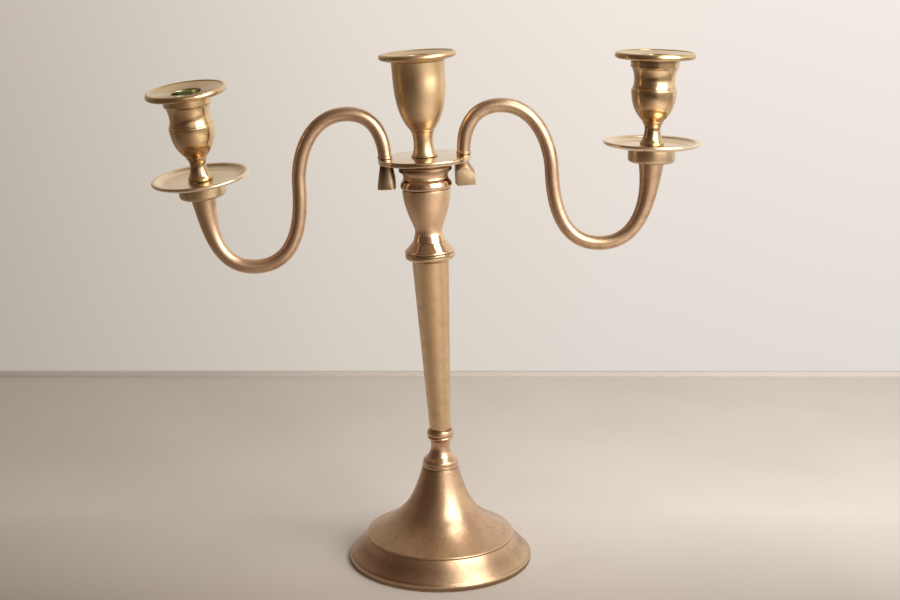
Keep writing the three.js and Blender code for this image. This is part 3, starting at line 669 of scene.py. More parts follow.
@dataclass(frozen=True)
class Places:
    """Where the sub-assemblies stand and lean, in millimetres and degrees."""

    seat: float = 104.3  # floor of the collar's seat
    stem_foot: float = 8.1  # the stem's radius at its foot
    lean: float = 3.1
    back: float = 1.5
    turn: float = 2.0
    socket_base: float = 141.7
    socket_height: float = 66.0
    plate_low: float = 3.0
    plate_top: float = 6.8
    arm_root: float = 29.6  # from the branch's axis
    spigot: float = 3.0  # radius of the arm's end in the nut
    cup_foot: float = 10.0  # the centre cup's radius at its foot
    cup_lean: float = 0.8
    tip_lean: float = 3.85

    def stem(self) -> Matrix:
        """The stem's frame: its origin is the stem's foot."""
        lift = self.seat + GAP + self.stem_foot * math.sin(math.radians(math.hypot(self.lean, self.back)))
        return shift(0, lift) @ tilt(-self.back, "X") @ tilt(-self.lean, "Y")

    def socket(self) -> Matrix:
        """The socket's frame: its origin is the socket's bottom."""
        return self.stem() @ shift(0, self.socket_base)

    def branch(self) -> Matrix:
        """The branch's frame: its origin is the socket's top, and X runs along the arms."""
        return self.socket() @ shift(0, self.socket_height) @ tilt(self.turn, "Z")

    def cup(self) -> Matrix:
        """The centre cup's frame: its origin is the middle of the cup's foot."""
        lift = self.plate_top + GAP + self.cup_foot * math.sin(math.radians(self.cup_lean))
        return self.branch() @ shift(0, lift) @ tilt(-self.cup_lean, "Y")

    def tip(self, side: Side, reach: float, rise: float, nod: float) -> Matrix:
        """The frame at an arm's tip, whose Z runs on along the tip.

        Args:
            side: which arm.
            reach: from the branch's axis to the tip.
            rise: of the tip above the plate's top.
            nod: degrees to the front.

        Returns:
            The frame, in metres.
        """
        move = shift(side.value * reach, self.plate_top + rise)
        return self.branch() @ move @ tilt(nod, "X") @ tilt(side.value * self.tip_lean, "Y")


def finish_piece(piece: Object, node: str, body: Body = Body.BRANCH) -> None:
    """Lets a dressed piece stand for its solid and ride on its body.

    Args:
        piece: the piece.
        node: the solid's name.
        body: the rigid body it rides on.
    """
    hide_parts(node)
    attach(piece, body.value)
    LOG.info("%s: %d faces, rides on %s", piece.name, len(piece.data.polygons), body.value)


@dataclass
class Foot:
    """The hollow foot and the knop that is bolted through it."""

    radius: float = 71.5
    ring_inner: float = 64.5
    band: float = 4.4
    lip: float = 57.6
    lip_height: float = 21.6
    bell_top: float = 13.9
    bell_height: float = 75.8
    bell_crown: float = 7.0  # thickness of the metal at its top
    shank: float = 5.0
    shank_end: float = 58.1
    collar_height: float = 29.8
    seat_depth: float = 1.6
    seat_hole: float = 4.34
    bell_finish: AgedBrass = AgedBrass(
        (0.585, 0.385, 0.25), (0.605, 0.425, 0.265), roughness=0.23, grain=0.2, dents=0.7
    )
    collar_finish: AgedBrass = AgedBrass((0.66, 0.43, 0.29), (0.68, 0.47, 0.30), grain=0.2)

    def bell(self) -> None:
        """Turns the bell with its rolled base and hollow underside."""
        out, inner, band, lip, rise = self.radius, self.ring_inner, self.band, self.lip, self.lip_height
        hole, top, crown = self.shank + GAP, self.bell_height, self.bell_height - self.bell_crown
        line = Outline().to((inner, 0), (out - 0.7, 0)).bow((out, 0), (out, 0.9), 4)
        line.to((out, band - 0.5)).bow((out, band), (out - 0.7, band + 0.2), 3).to((out - 1.1, band + 0.9))
        line.bow((62.6, 12.9), (lip - 0.5, rise - 1.8), 14).to((lip - 0.1, rise - 1.2))
        line.bow((lip + 0.1, rise - 0.3), (lip - 0.8, rise), 4)
        line.curve((29.95, 36.2), (23.1, 42.2), (self.bell_top, top), 40)
        line.to((hole, top), (hole, crown), (11.5, crown))
        line.curve((19.9, 39.8), (29.95, 30.6), (54.4, 16.8), 24).to((inner, band), (inner, 0))
        piece = turned("bell", line, 0.15)
        # Painted shade on the band, just above it, on the slope, under the lip and at the top under the
        # collar; painted highlights on the band's top edge and on the lip.
        marks = [(1.8, 2.3, 0.05), (4.3, 0.5, 0.8), (5.2, 0.7, 0.2), (12.5, 6.5, 0.34), (20.0, 0.8, 0.1)]
        marks += [(21.5, 0.5, 0.75), (75.2, 0.8, 0.25)]
        self.bell_finish.dress(piece, Matrix.Identity(4), marks)
        finish_piece(piece, "foot_bell", Body.STAND)

    def collar(self) -> None:
        """Turns the knop: rings, shoulder, neck and a double bead round the stem's seat."""
        low = self.bell_height + GAP
        top = low + self.collar_height
        seat = top - self.seat_depth
        line = Outline().to((0, self.shank_end), (self.shank, self.shank_end), (self.shank, low))
        line.to((14.0, low), (14.1, low + 0.9), (13.4, low + 1.2), (13.2, low + 3.0))
        line.to((13.5, low + 3.2), (13.4, low + 4.0)).bow((13.2, low + 5.4), (12.0, low + 6.2), 4)
        line.curve((8.9, low + 8.7), (7.3, low + 12), (7.3, low + 16), 10)
        line.curve((7.3, low + 18.5), (7.6, low + 20.6), (8.8, low + 22.0), 6)
        line.bow((9.9, low + 22.4), (9.9, low + 23.6), 4).to((9.4, low + 24.5))
        line.bow((10.5, low + 25.0), (10.25, low + 27.0), 5).bow((10.0, low + 28.9), (9.3, top), 5)
        line.to((8.4, top), (8.4, seat), (self.seat_hole, seat))
        line.to((self.seat_hole, seat - STUD_DEPTH), (0, seat - STUD_DEPTH))
        piece = turned("collar", line)
        # A painted highlight on the lowest ring, and painted shade in the groove above it, under the upper
        # bead and at the top edge.
        marks = [(low + 0.3, 0.6, 0.8), (low + 3.1, 0.5, 0.3), (low + 24.4, 0.5, 0.2), (top - 0.4, 0.7, 0.3)]
        self.collar_finish.dress(piece, Matrix.Identity(4), marks)
        finish_piece(piece, "foot_collar", Body.STAND)

    def build(self) -> None:
        """Builds the foot's shown pieces."""
        self.bell()
        self.collar()


@dataclass
class Column:
    """The tapering stem and the candle socket on it."""

    places: Places
    top: float = 14.0
    taper: float = 134.6
    height: float = 141.4
    bead: float = 19.0
    socket_bead: float = 19.1
    waist: float = 10.4
    vase: float = 18.3
    groove: float = 48.7
    rim: float = 20.1
    stem_finish: AgedBrass = AgedBrass(
        (0.75, 0.53, 0.33), (0.78, 0.57, 0.345), roughness=0.28, tarnished=0.25, polished=((135.4, 142.0),)
    )
    socket_finish: AgedBrass = AgedBrass(
        warm=(0.77, 0.53, 0.355),
        yellow=(0.80, 0.57, 0.37),
        roughness=0.31,
        tarnished=0.2,
        polished=((-0.5, 13.2), (48.4, 56.4)),
    )

    def stem(self) -> None:
        """Turns the stem: a long taper, a tight cove and a half bead."""
        wide, bead, high = self.top, self.bead, self.height
        line = Outline().to((0, STUD_DEPTH), (STUD_HOLE, STUD_DEPTH), (STUD_HOLE, 0))
        line.to((self.places.stem_foot, 0), (wide, self.taper))
        line.curve((wide + 0.3, 135.4), (15.4, 135.7), (16.7, 136.1), 6)
        line.curve((18.2, 136.6), (bead, 137.6), (bead, 139.2), 8)
        line.to((bead, high - 0.6), (bead - 0.5, high), (STUD_HOLE, high))
        line.to((STUD_HOLE, high - STUD_DEPTH), (0, high - STUD_DEPTH))
        piece = turned("column_stem", line)
        # Painted shade at the foot, at the cove and at the top joint.
        marks = [(0.6, 1.2, 0.2), (135.2, 1.0, 0.3), (141.3, 0.6, 0.3)]
        self.stem_finish.dress(piece, self.places.stem(), marks)
        finish_piece(piece, "stem", Body.STAND)

    def socket(self) -> None:
        """Turns the socket: bead, waist, vase, upper bead and rolled rim, bored for a candle."""
        groove, top, bead = self.groove, self.places.socket_height, self.socket_bead
        waist, vase, rim = self.waist, self.vase, self.rim
        line = Outline().to((0, STUD_DEPTH), (STUD_HOLE, STUD_DEPTH), (STUD_HOLE, 0), (bead - 0.9, 0))
        line.bow((bead, 0), (bead, 0.8), 4).bow((bead - 0.1, 1.5), (bead - 1.0, 2.3), 4)
        line.bow((bead - 3.3, 4.6), (13.1, 7.8), 8).to((12.8, 8.2), (12.4, 8.3), (waist + 0.35, 14.0))
        line.bow((waist, 14.8), (waist, 15.6), 3).to((waist, 16.6))
        line.curve((waist, 21.1), (vase - 1.2, 29.6), (vase, groove - 2), 18)
        line.to((vase, groove - 0.4), (vase - 0.5, groove), (bead - 0.3, groove + 0.5))
        line.bow((20.2, groove + 1.6), (19.1, groove + 4.8), 8)
        line.bow((18.7, groove + 6.4), (17.6, groove + 7.2), 4)
        line.bow((16.0, groove + 9.6), (18.4, top - 4.4), 8)
        line.bow((rim, top - 4.3), (rim, top - 2.6)).bow((rim, top - 0.3), (18.6, top))
        line.to((CANDLE_RADIUS + 0.5, top), (CANDLE_RADIUS, top - 0.5))
        line.to((CANDLE_RADIUS, top - CANDLE_DEPTH), (0, top - CANDLE_DEPTH))
        piece = turned("column_socket", line)
        # A painted highlight on the bead's lower edge; painted shade at the step, in the groove, over the
        # upper bead, above it and on the rim under the plate.
        marks = [(0.3, 0.5, 0.85), (8.3, 0.7, 0.3), (groove, 0.8, 0.15), (groove + 3.6, 3.0, 0.40)]
        marks += [(groove + 7.3, 0.7, 0.2), (top - 2.4, 2.8, 0.05)]
        self.socket_finish.dress(piece, self.places.socket(), marks)
        finish_piece(piece, "stem_socket", Body.STAND)

    def build(self) -> None:
        """Builds stem and socket at their places."""
        self.stem()
        self.socket()


def add_rim(line: Outline, radius: float, top: float, thickness: float) -> None:
    """Ends a cup's outline in the rolled, dished rim and the candle bore.

    Args:
        line: the outline, up to the underside of the rim.
        radius: the rim's outer radius.
        top: the height of its upper edge.
        thickness: of the rolled edge.
    """
    low = top - thickness
    line.bow((radius - 2.2, low - 0.2), (radius - 1.1, low + 0.5), 5)
    line.bow((radius, low + 1.2), (radius, low + thickness / 2))
    line.bow((radius, top - 0.9), (radius - 1.3, top - 0.25))
    line.bow((radius - 2.0, top + 0.1), (radius - 2.9, top - 0.5), 5)
    line.to((radius - 3.2, top - 0.9), (CANDLE_RADIUS + 1.2, top - 2.5))
    line.bow((CANDLE_RADIUS, top - 2.7), (CANDLE_RADIUS, top - 3.6), 4)
    line.to((CANDLE_RADIUS, top - CANDLE_DEPTH), (0, top - CANDLE_DEPTH))


@dataclass
class Hub:
    """What stands in the socket: plug, plate and the tall centre cup."""

    places: Places
    plate_radius: float = 35.2
    plug_radius: float = 10.5
    plug_length: float = 24.0
    plug_edge: float = 0.2
    flange: float = 15.0
    flange_height: float = 2.4
    cup_height: float = 77.5
    rim: float = 29.0
    rim_thickness: float = 4.6
    body: float = 20.0
    neck: float = 7.4
    plate_finish: AgedBrass = AgedBrass(
        (0.74, 0.56, 0.38), (0.76, 0.59, 0.40), roughness=0.08, tarnished=0.15, dents=0.5
    )
    cup_finish: AgedBrass = AgedBrass(
        (0.72, 0.51, 0.31), (0.75, 0.57, 0.33), roughness=0.29, tarnished=0.16, grain=0.3
    )

    def plug(self) -> None:
        """Turns the plug and its flange."""
        low, top, radius = GAP - self.plug_length, GAP + self.flange_height, self.plug_radius
        line = Outline().to((0, low), (radius - 1.5, low), (radius, low + 1.5), (radius, GAP))
        line.to((self.flange, GAP), (self.flange, top), (STUD_HOLE, top))
        line.to((STUD_HOLE, top - STUD_DEPTH), (0, top - STUD_DEPTH))
        piece = turned("hub_plug", line, self.plug_edge)
        self.plate_finish.dress(piece, self.places.branch(), [])
        finish_piece(piece, "branch_plug", Body.PLUG)

    def plate(self) -> None:
        """Turns the plate with its rounded edge."""
        places, radius = self.places, self.plate_radius
        low, top = places.plate_low, places.plate_top
        line = Outline().to((STUD_HOLE, low), (radius - 1.3, low)).bow((radius, low), (radius, low + 1.5))
        line.to((radius, top - 1.1)).bow((radius, top), (radius - 1.0, top), 5)
        line.to((STUD_HOLE, top), (STUD_HOLE, low))
        piece = turned("hub_plate", line, 0)
        for side in Side:
            drill(piece, places.spigot + GAP, low - 1, top + 1, side.value * places.arm_root)
        smooth(piece)
        self.plate_finish.dress(piece, self.places.branch(), [])
        finish_piece(piece, "branch_plate")

    def cup(self) -> None:
        """Turns the plain tall cup."""
        top, body, neck, foot = self.cup_height, self.body, self.neck, self.places.cup_foot
        line = Outline().to((0, STUD_DEPTH), (STUD_HOLE, STUD_DEPTH), (STUD_HOLE, 0), (foot, 0))
        line.curve((foot - 1.6, 2.5), (neck, 5), (neck, 10.2), 10)
        line.curve((neck, 13.0), (neck + 0.3, 15.6), (neck + 1.1, 18.4), 6)
        line.to((neck + 1.7, 19.4), (neck + 1.6, 20.0), (neck + 2.4, 20.7))
        line.curve((body - 4.6, 27.7), (body - 0.6, 39.1), (body - 0.3, 57.1), 22)
        line.to((body, top - 7.0)).bow((body + 0.1, top - 6.3), (body + 1.4, top - 6.0), 4)
        add_rim(line, self.rim, top, self.rim_thickness)
        piece = turned("hub_cup", line)
        # Painted shade at the foot, under the ring, under the rim and on the rim; a painted highlight on the
        # ring's edge.
        marks = [(0.5, 0.8, 0.3), (19.3, 0.6, 0.25), (20.2, 0.4, 0.8), (top - 6.3, 0.9, 0.2)]
        self.cup_finish.dress(piece, self.places.cup(), [*marks, (top - 3.0, 1.5, 0.34)])
        finish_piece(piece, "centre_cup")

    def build(self) -> None:
        """Builds plug, plate and cup at their places."""
        self.plug()
        self.plate()
        self.cup()


@dataclass
class Arm:
    """One S-bent arm with its square nut."""

    places: Places
    side: Side
    reach: float
    rise: float
    bend_rise: float
    nod: float
    nut_turn: float
    cone: float  # slope of the nut's cone, in degrees from its axis
    cone_offset: float
    cone_painted_shade: float  # below 0.5 its upper end is darkened with painted shade
    arch: Point = (57.2, 35.2)
    drop: Point = (95.2, -15.9)
    bend: float = 131.8
    root_pull: float = 22  # the pulls say how far the rod runs on straight before it bends
    arch_pull: Point = (17.7, 28.6)
    drop_pull: float = 19.5
    bend_pull: Point = (34.5, 31.5)
    tip_pull: float = 20
    radius: float = 5.4
    root_radius: float = 5.0
    tip_radius: float = 9.7
    root: float = 0.06  # share of the length over which it leaves the root
    flare: float = 0.26  # share of the length over which it swells
    swell: float = 2.7  # power with which it swells
    tip_hole: Point = (3.1, 12.3)  # radius and depth of the stud's hole, in the cup too
    spigot_short: float = 0.7  # from the spigot's end to the nut's underside
    foot_radius: float = 5.6
    foot_height: float = 2.2
    rings: int = 110
    nut_side: float = 13.6
    nut_height: float = 18.6
    nut_neck: float = 2.0
    nut_neck_radius: float = 5.0
    nut_edge: float = 0.35
    finish: AgedBrass = AgedBrass(
        (0.67, 0.455, 0.31), (0.69, 0.49, 0.32), roughness=0.27, lines=0.0, tarnished=0.45, grain=1.0
    )
    nut_finish: AgedBrass = AgedBrass(
        (0.44, 0.32, 0.20), (0.50, 0.38, 0.24), roughness=0.34, tarnished=0.6, grain=1.6
    )

    def path(self) -> list[Vector]:
        """Lays out the arm's curve.

        Returns:
            The centres of its rings, evenly spaced, in millimetres in the branch's frame.
        """
        places, lean, nod = self.places, math.radians(self.places.tip_lean), math.radians(self.nod)
        (arch_x, arch_z), (drop_x, drop_z) = self.arch, self.drop
        bend_x, bend_z = self.bend, self.bend_rise

        def at(out: float, rise: float, front: float = 0.0) -> Vector:
            """A point by its distance out, its rise above the plate and its step to the front."""
            return Vector((self.side.value * out, -front, places.plate_top + rise))

        down, out, front = (self.tip_pull * part for part in (math.cos(lean), math.sin(lean), math.sin(nod)))
        below = at(self.reach - out, self.rise - down, -front)
        legs = (
            (at(places.arm_root, self.root_pull), at(arch_x - self.arch_pull[0], arch_z), at(arch_x, arch_z)),
            (at(arch_x + self.arch_pull[1], arch_z), at(drop_x, drop_z + self.drop_pull), at(drop_x, drop_z)),
            (at(drop_x, drop_z - self.drop_pull), at(bend_x - self.bend_pull[0], bend_z), at(bend_x, bend_z)),
            (at(bend_x + self.bend_pull[1], bend_z), below, at(self.reach, self.rise)),
        )
        fine = [at(places.arm_root, GAP)]
        for b, c, d in legs:
            a = fine[-1]
            for step in range(1, LEG_STEPS + 1):
                t = step / LEG_STEPS
                fine.append(a * (1 - t) ** 3 + b * 3 * (1 - t) ** 2 * t + c * 3 * (1 - t) * t**2 + d * t**3)
        lengths = [0.0]
        for here, there in zip(fine, fine[1:]):
            lengths.append(lengths[-1] + (there - here).length)
        centres: list[Vector] = []
        index = 0
        for ring in range(self.rings + 1):
            wanted = lengths[-1] * ring / self.rings
            while index < len(lengths) - 2 and lengths[index + 1] < wanted:
                index += 1
            share = (wanted - lengths[index]) / (lengths[index + 1] - lengths[index])
            centres.append(fine[index].lerp(fine[index + 1], share))
        return centres

    def radius_at(self, share: float) -> float:
        """Gives the arm's radius.

        Args:
            share: the share of its length, from the root.

        Returns:
            The radius there.
        """
        rooted = self.root_radius + (self.radius - self.root_radius) * min(1.0, share / self.root)
        flared = max(0.0, (share - (1 - self.flare)) / self.flare)
        return rooted + (self.tip_radius - self.radius) * flared**self.swell

    def arm(self) -> None:
        """Bends the arm out of round rod."""
        places, centres = self.places, self.path()
        radii = [self.radius_at(ring / self.rings) for ring in range(self.rings + 1)]
        start = centres[0].copy()
        foot, high, spigot = self.foot_radius, self.foot_height, places.spigot
        low = places.plate_low - self.nut_height + self.spigot_short - start.z
        lathe = [(low, spigot - 0.3), (low + 0.3, spigot), (0, spigot), (0, foot - 0.3), (0.3, foot)]
        lathe += [(high - 0.3, foot), (high, foot - 0.3), (high, radii[1])]
        bare = sum(1 for centre in centres[:10] if centre.z < start.z + high + 0.5)
        path = [start + Vector((0, 0, rise)) for rise, _ in lathe] + centres[bare:]
        radii = [radius for _, radius in lathe] + radii[bare:]
        piece = bent(self.side.label + "_rod", path, radii, self.tip_hole)
        self.finish.dress(piece, places.branch(), [])
        finish_piece(piece, self.side.label + "_arm")

    def nut(self) -> None:
        """Cuts the square nut and turns its upper end down to a cone and a neck."""
        places, high, wide, neck = self.places, self.nut_height, self.nut_side, self.nut_neck_radius
        name = self.side.label + "_square_nut"
        size = (wide * MM, wide * MM, high * MM)
        make = bpy.ops.mesh.primitive_cube_add
        piece = slab(make, name, size, (0, 0, high / 2 * MM), self.nut_turn)
        cone_top = high - self.nut_neck
        cone_low = cone_top - (wide - neck) / math.tan(math.radians(self.cone))
        end = min(cone_low, 0) - 1
        line = Outline().to((0, end), (wide, end), (wide, cone_low), (neck, cone_top))
        line.to((neck, high + 1), (0, high + 1))
        cutter = turned("cutter", line, 0)
        place(cutter, shift(self.cone_offset, 0))
        cut(piece, cutter, "INTERSECT")
        drill(piece, places.spigot + GAP, -1, high + 1)
        round_edges(piece, self.nut_edge)
        smooth(piece)
        where = places.branch() @ shift(self.side.value * places.arm_root, places.plate_low - GAP - high)
        # The mark paints shade over the nut's upper end, darker on the left nut than on the right.
        self.nut_finish.dress(piece, where, [(high - 2.0, 13.0, self.cone_painted_shade)])
        finish_piece(piece, self.side.label + "_nut")

    def build(self) -> None:
        """Builds arm and nut."""
        self.arm()
        self.nut()


@dataclass
class Tip:
    """What stands on an arm's tip: collar, drip pan and candle cup."""

    arm: Arm
    collar_radius: float = 17.8
    collar_height: float = 10.9
    pan_radius: float = 36.9
    pan_thickness: float = 1.6
    pan_edge: float = 0.1
    lip_height: float = 5.0
    lip_width: float = 4.6
    cup_height: float = 69.6
    rim: float = 30.3
    rim_thickness: float = 5.2
    band: float = 18.2
    band_height: float = 6.3
    waist: float = 14.9
    bulge: float = 17.1
    cup_foot: float = 9.2
    neck: float = 6.0
    finish: AgedBrass = AgedBrass(
        warm=(0.71, 0.50, 0.30),
        yellow=(0.75, 0.57, 0.31),
        roughness=0.11,
        tarnished=0.18,
        grain=0.3,
        dents=0.8,
        green=((46.0, 67.5),),
    )
    collar_finish: AgedBrass = AgedBrass(
        (0.68, 0.49, 0.31), (0.70, 0.53, 0.33), roughness=0.24, tarnished=0.3
    )
    pan_finish: AgedBrass = AgedBrass(
        warm=(0.87, 0.70, 0.50),
        yellow=(0.90, 0.75, 0.53),
        roughness=0.16,
        tarnished=0.06,
        grain=0.15,
        dents=0.35,
        pitted=0.3,
    )

    @property
    def label(self) -> str:
        """The start of its pieces' names."""
        return self.arm.side.label

    @property
    def pan_low(self) -> float:
        """The pan's underside, above the arm's tip."""
        return GAP + self.collar_height + GAP

    def above(self, lift: float) -> Matrix:
        """The frame at this height above the arm's tip."""
        arm = self.arm
        return arm.places.tip(arm.side, arm.reach, arm.rise, arm.nod) @ shift(0, lift)

    def collar(self) -> None:
        """Turns the short collar under the pan."""
        low, high, radius, hole = GAP, GAP + self.collar_height, self.collar_radius, self.arm.tip_hole[0]
        line = Outline().to((hole, low), (radius - 3.4, low)).bow((radius - 0.4, low), (radius, low + 2.4), 7)
        line.to((radius, high - 0.5), (radius - 0.4, high), (hole, high), (hole, low))
        piece = turned(self.label + "_tip_collar", line)
        # Painted shade at the collar's foot and under the pan.
        self.collar_finish.dress(piece, self.above(0), [(low + 0.6, 0.8, 0.3), (high - 0.2, 0.7, 0.2)])
        finish_piece(piece, self.label + "_collar")

    def pan(self) -> None:
        """Turns the drip pan with its rolled lip and the groove inside it."""
        low, hole, radius = self.pan_low, self.arm.tip_hole[0], self.pan_radius
        lip = low + self.lip_height
        floor, inner = low + self.pan_thickness, radius - self.lip_width
        line = Outline().to((hole, low), (inner - 6, low))
        line.bow((inner, low + 0.4), (radius - 1.0, lip - 2.8), 10)
        line.bow((radius, lip - 2.1), (radius, lip - 1.4), 4)
        line.bow((radius - 0.1, lip - 0.1), (radius - 1.6, lip), 5)
        line.bow((radius - 3.0, lip), (inner + 0.5, lip - 0.9), 5).to((inner, lip - 1.5))
        line.curve((inner - 2, floor + 0.7), (inner - 3.4, floor), (inner - 6, floor), 8)
        line.to((hole, floor), (hole, low))
        piece = turned(self.label + "_drip_pan", line, self.pan_edge)
        self.pan_finish.dress(piece, self.above(0), [])
        finish_piece(piece, self.label + "_pan")

    def cup(self) -> None:
        """Turns the candle cup: foot, neck, bulge, waist, band and rim."""
        top = self.cup_height
        band_top = top - self.rim_thickness
        band_low = band_top - self.band_height
        foot, neck, bulge, waist, band = self.cup_foot, self.neck, self.bulge, self.waist, self.band
        hole, deep = self.arm.tip_hole
        line = Outline().to((0, deep), (hole, deep), (hole, 0), (foot - 0.2, 0), (foot, 0.3), (foot, 1.9))
        line.curve((foot - 1.0, 3.2), (neck + 0.2, 6.4), (neck, 11.5), 10)
        line.curve((neck, 13.4), (neck + 0.3, 14.8), (neck + 1.2, 16.2), 5)
        line.to((neck + 1.9, 16.8), (neck + 1.8, 17.6), (neck + 2.3, 18.3))
        line.curve((bulge - 2.6, 24.5), (bulge, 32), (bulge, 41.4), 16)
        line.bow((bulge, 42.3), (bulge - 0.7, 42.6), 4)
        line.curve((waist, 46.4), (waist, 51.6), (band - 1.4, band_low - 1.4), 12)
        line.bow((band - 1.0, band_low - 0.4), (band - 0.3, band_low), 3)
        line.to((band, band_low + 0.3), (band, band_top - 0.8))
        line.bow((band, band_top - 0.1), (band + 0.9, band_top), 3)
        add_rim(line, self.rim, top, self.rim_thickness)
        piece = turned(self.label + "_candle_cup", line)
        # Painted shade at the foot, round the ring, above the shoulder, under the band, under the rim and on
        # the rim, and the neck darkened; painted highlights on the ring's edge and on the shoulder.
        marks = [(0.8, 1.0, 0.3), (9.0, 7.0, 0.25), (16.8, 0.7, 0.25), (17.6, 0.4, 0.85), (20.5, 2.5, 0.38)]
        marks += [(42.1, 0.6, 0.8), (43.6, 0.9, 0.35), (band_low - 0.8, 0.8, 0.2)]
        marks += [(band_top - 1.2, 1.6, 0.15), (top - 3.2, 1.5, 0.34)]
        lift = self.pan_low + self.pan_thickness + GAP
        self.finish.dress(piece, self.above(lift), marks)
        finish_piece(piece, self.label + "_cup")

    def build(self) -> None:
        """Builds collar, pan and cup on the arm's tip."""
        self.collar()
        self.pan()
        self.cup()


@dataclass(frozen=True)
class DullSteel:
    """Plain dull steel for the fittings inside."""

    colour: Colour = (0.32, 0.30, 0.27)
    rust: Colour = (0.20, 0.11, 0.06)

    def material(self) -> Material:
        """Makes grey steel with rusty clouds and a fine grain.

        Returns:
            The material.
        """
        made = bpy.data.materials.new("fitting_finish")
        pad = NodePad(made)
        local = pad.local(Matrix.Identity(4))
        stain = pad.ramp(pad.noise(local, 4, 5, 0.6), (0.4, 0), (0.7, 1))
        bump = pad.add("Bump", {"Height": pad.noise(local, 0.5, 3, 0.6), "Distance": 0.05 * MM}).outputs[0]
        tone = pad.mix(stain, self.colour, self.rust)
        pad.surface(tone, pad.times(stain, 0.3, 0.4), Metallic=0.9, Normal=bump)
        return made

    def dress(self, nodes: dict[str, Object], names: list[str]) -> None:
        """Gives the named solids this finish.

        Args:
            nodes: the part's solids by name.
            names: the ones to dress.
        """
        material = self.material()
        for name in names:
            nodes[name].data.materials.clear()
            nodes[name].data.materials.append(material)
            LOG.info("%s keeps its solid", name)


@dataclass(frozen=True)
class Lamp:
    """A soft lamp that faces the object, in metres and watts."""

    name: str
    place: Place
    size: Point
    power: float
    colour: Colour = (1.0, 0.97, 0.92)
    target: Place = (0, 0, 0.2)

    def stand(self) -> None:
        """Stands the lamp in the scene."""
        data = bpy.data.lights.new(self.name, "AREA")
        data.shape = "RECTANGLE"
        data.size, data.size_y = self.size
        data.energy = self.power
        data.color = self.colour
        lamp = bpy.data.objects.new(self.name, data)
        bpy.context.scene.collection.objects.link(lamp)
        lamp.location = self.place
        facing = Vector(self.target) - Vector(self.place)
        lamp.rotation_euler = facing.to_track_quat("-Z", "Y").to_euler()


@dataclass(frozen=True)
class Table:
    """The pale table with a low strip along its back edge, in metres. Its colours run from left to right and
    are painted light and shade: darker on the left, brighter on the right, with a bright patch to the right
    front and a dark band far in front, which the brass reflects.
    """

    back: float = 0.487
    front: float = -4.0
    width: float = 8.0
    strip_height: float = 0.0045
    strip_width: float = 0.006
    # The rows paint the table's light and shade from left to right: far behind the object, then near, nearer
    # and edge further to the front.
    far: Shades = (
        (0.1, (0.38, 0.34, 0.305)),
        (0.3, (0.585, 0.555, 0.52)),
        (0.5, (0.77, 0.735, 0.695)),
        (0.7, (0.83, 0.80, 0.765)),
        (0.9, (0.90, 0.88, 0.845)),
    )
    near: Shades = (
        (0.1, (0.20, 0.155, 0.125)),
        (0.35, (0.34, 0.30, 0.26)),
        (0.5, (0.50, 0.455, 0.41)),
        (0.65, (0.40, 0.365, 0.33)),
        (0.85, (0.70, 0.66, 0.62)),
    )
    nearer: Shades = (
        (0.1, (0.24, 0.19, 0.15)),
        (0.35, (0.30, 0.24, 0.20)),
        (0.5, (0.56, 0.49, 0.42)),
        (0.65, (0.95, 0.91, 0.85)),
        (0.85, (0.98, 0.96, 0.92)),
    )
    edge: Shades = ((0.4, (0.10, 0.07, 0.05)), (0.68, (0.15, 0.11, 0.08)), (0.8, (0.85, 0.78, 0.70)))
    dust: Colour = (0.35, 0.31, 0.27)

    def material(self) -> Material:
        """Makes the table's painted light and shade, from the back edge to the front, under faint clouds of
        dust.

        Returns:
            The material.
        """
        made = bpy.data.materials.new("table_finish")
        pad = NodePad(made)
        source = pad.add("TexCoord").outputs["Object"]
        split = pad.add("SeparateXYZ", {0: source})
        share = pad.times(split.outputs[0], 0.5, 0.5, clamp=True)
        tone = pad.shades(share, self.far)
        fronts = ((self.near, -5.0, 0.48), (self.nearer, -8.0, -1.0), (self.edge, -6.0, -6.0))
        for shades, slope, start in fronts:
            factor = pad.times(split.outputs[1], slope, start, clamp=True)
            tone = pad.mix(factor, tone, pad.shades(share, shades))
        cloud = pad.add("TexNoise", {"Vector": source, "Scale": 7.0, "Detail": 5.0}).outputs["Fac"]
        tone = pad.mix(pad.ramp(cloud, (0.4, 0), (0.8, 0.12)), tone, self.dust)
        pad.surface(tone, pad.times(cloud, 0.3, 0.5))
        return made

    def build(self) -> None:
        """Lays the table, whose back edge shows behind the object."""
        size = (self.width, self.back - self.front, 1)
        centre = (0, (self.back + self.front) / 2, 0)
        top = slab(bpy.ops.mesh.primitive_plane_add, "table", size, centre)
        size = (self.width, self.strip_width, self.strip_height)
        centre = (0, self.back - self.strip_width / 2, self.strip_height / 2)
        piece = slab(bpy.ops.mesh.primitive_cube_add, "table_strip", size, centre)
        material = self.material()
        top.data.materials.append(material)
        piece.data.materials.append(material)


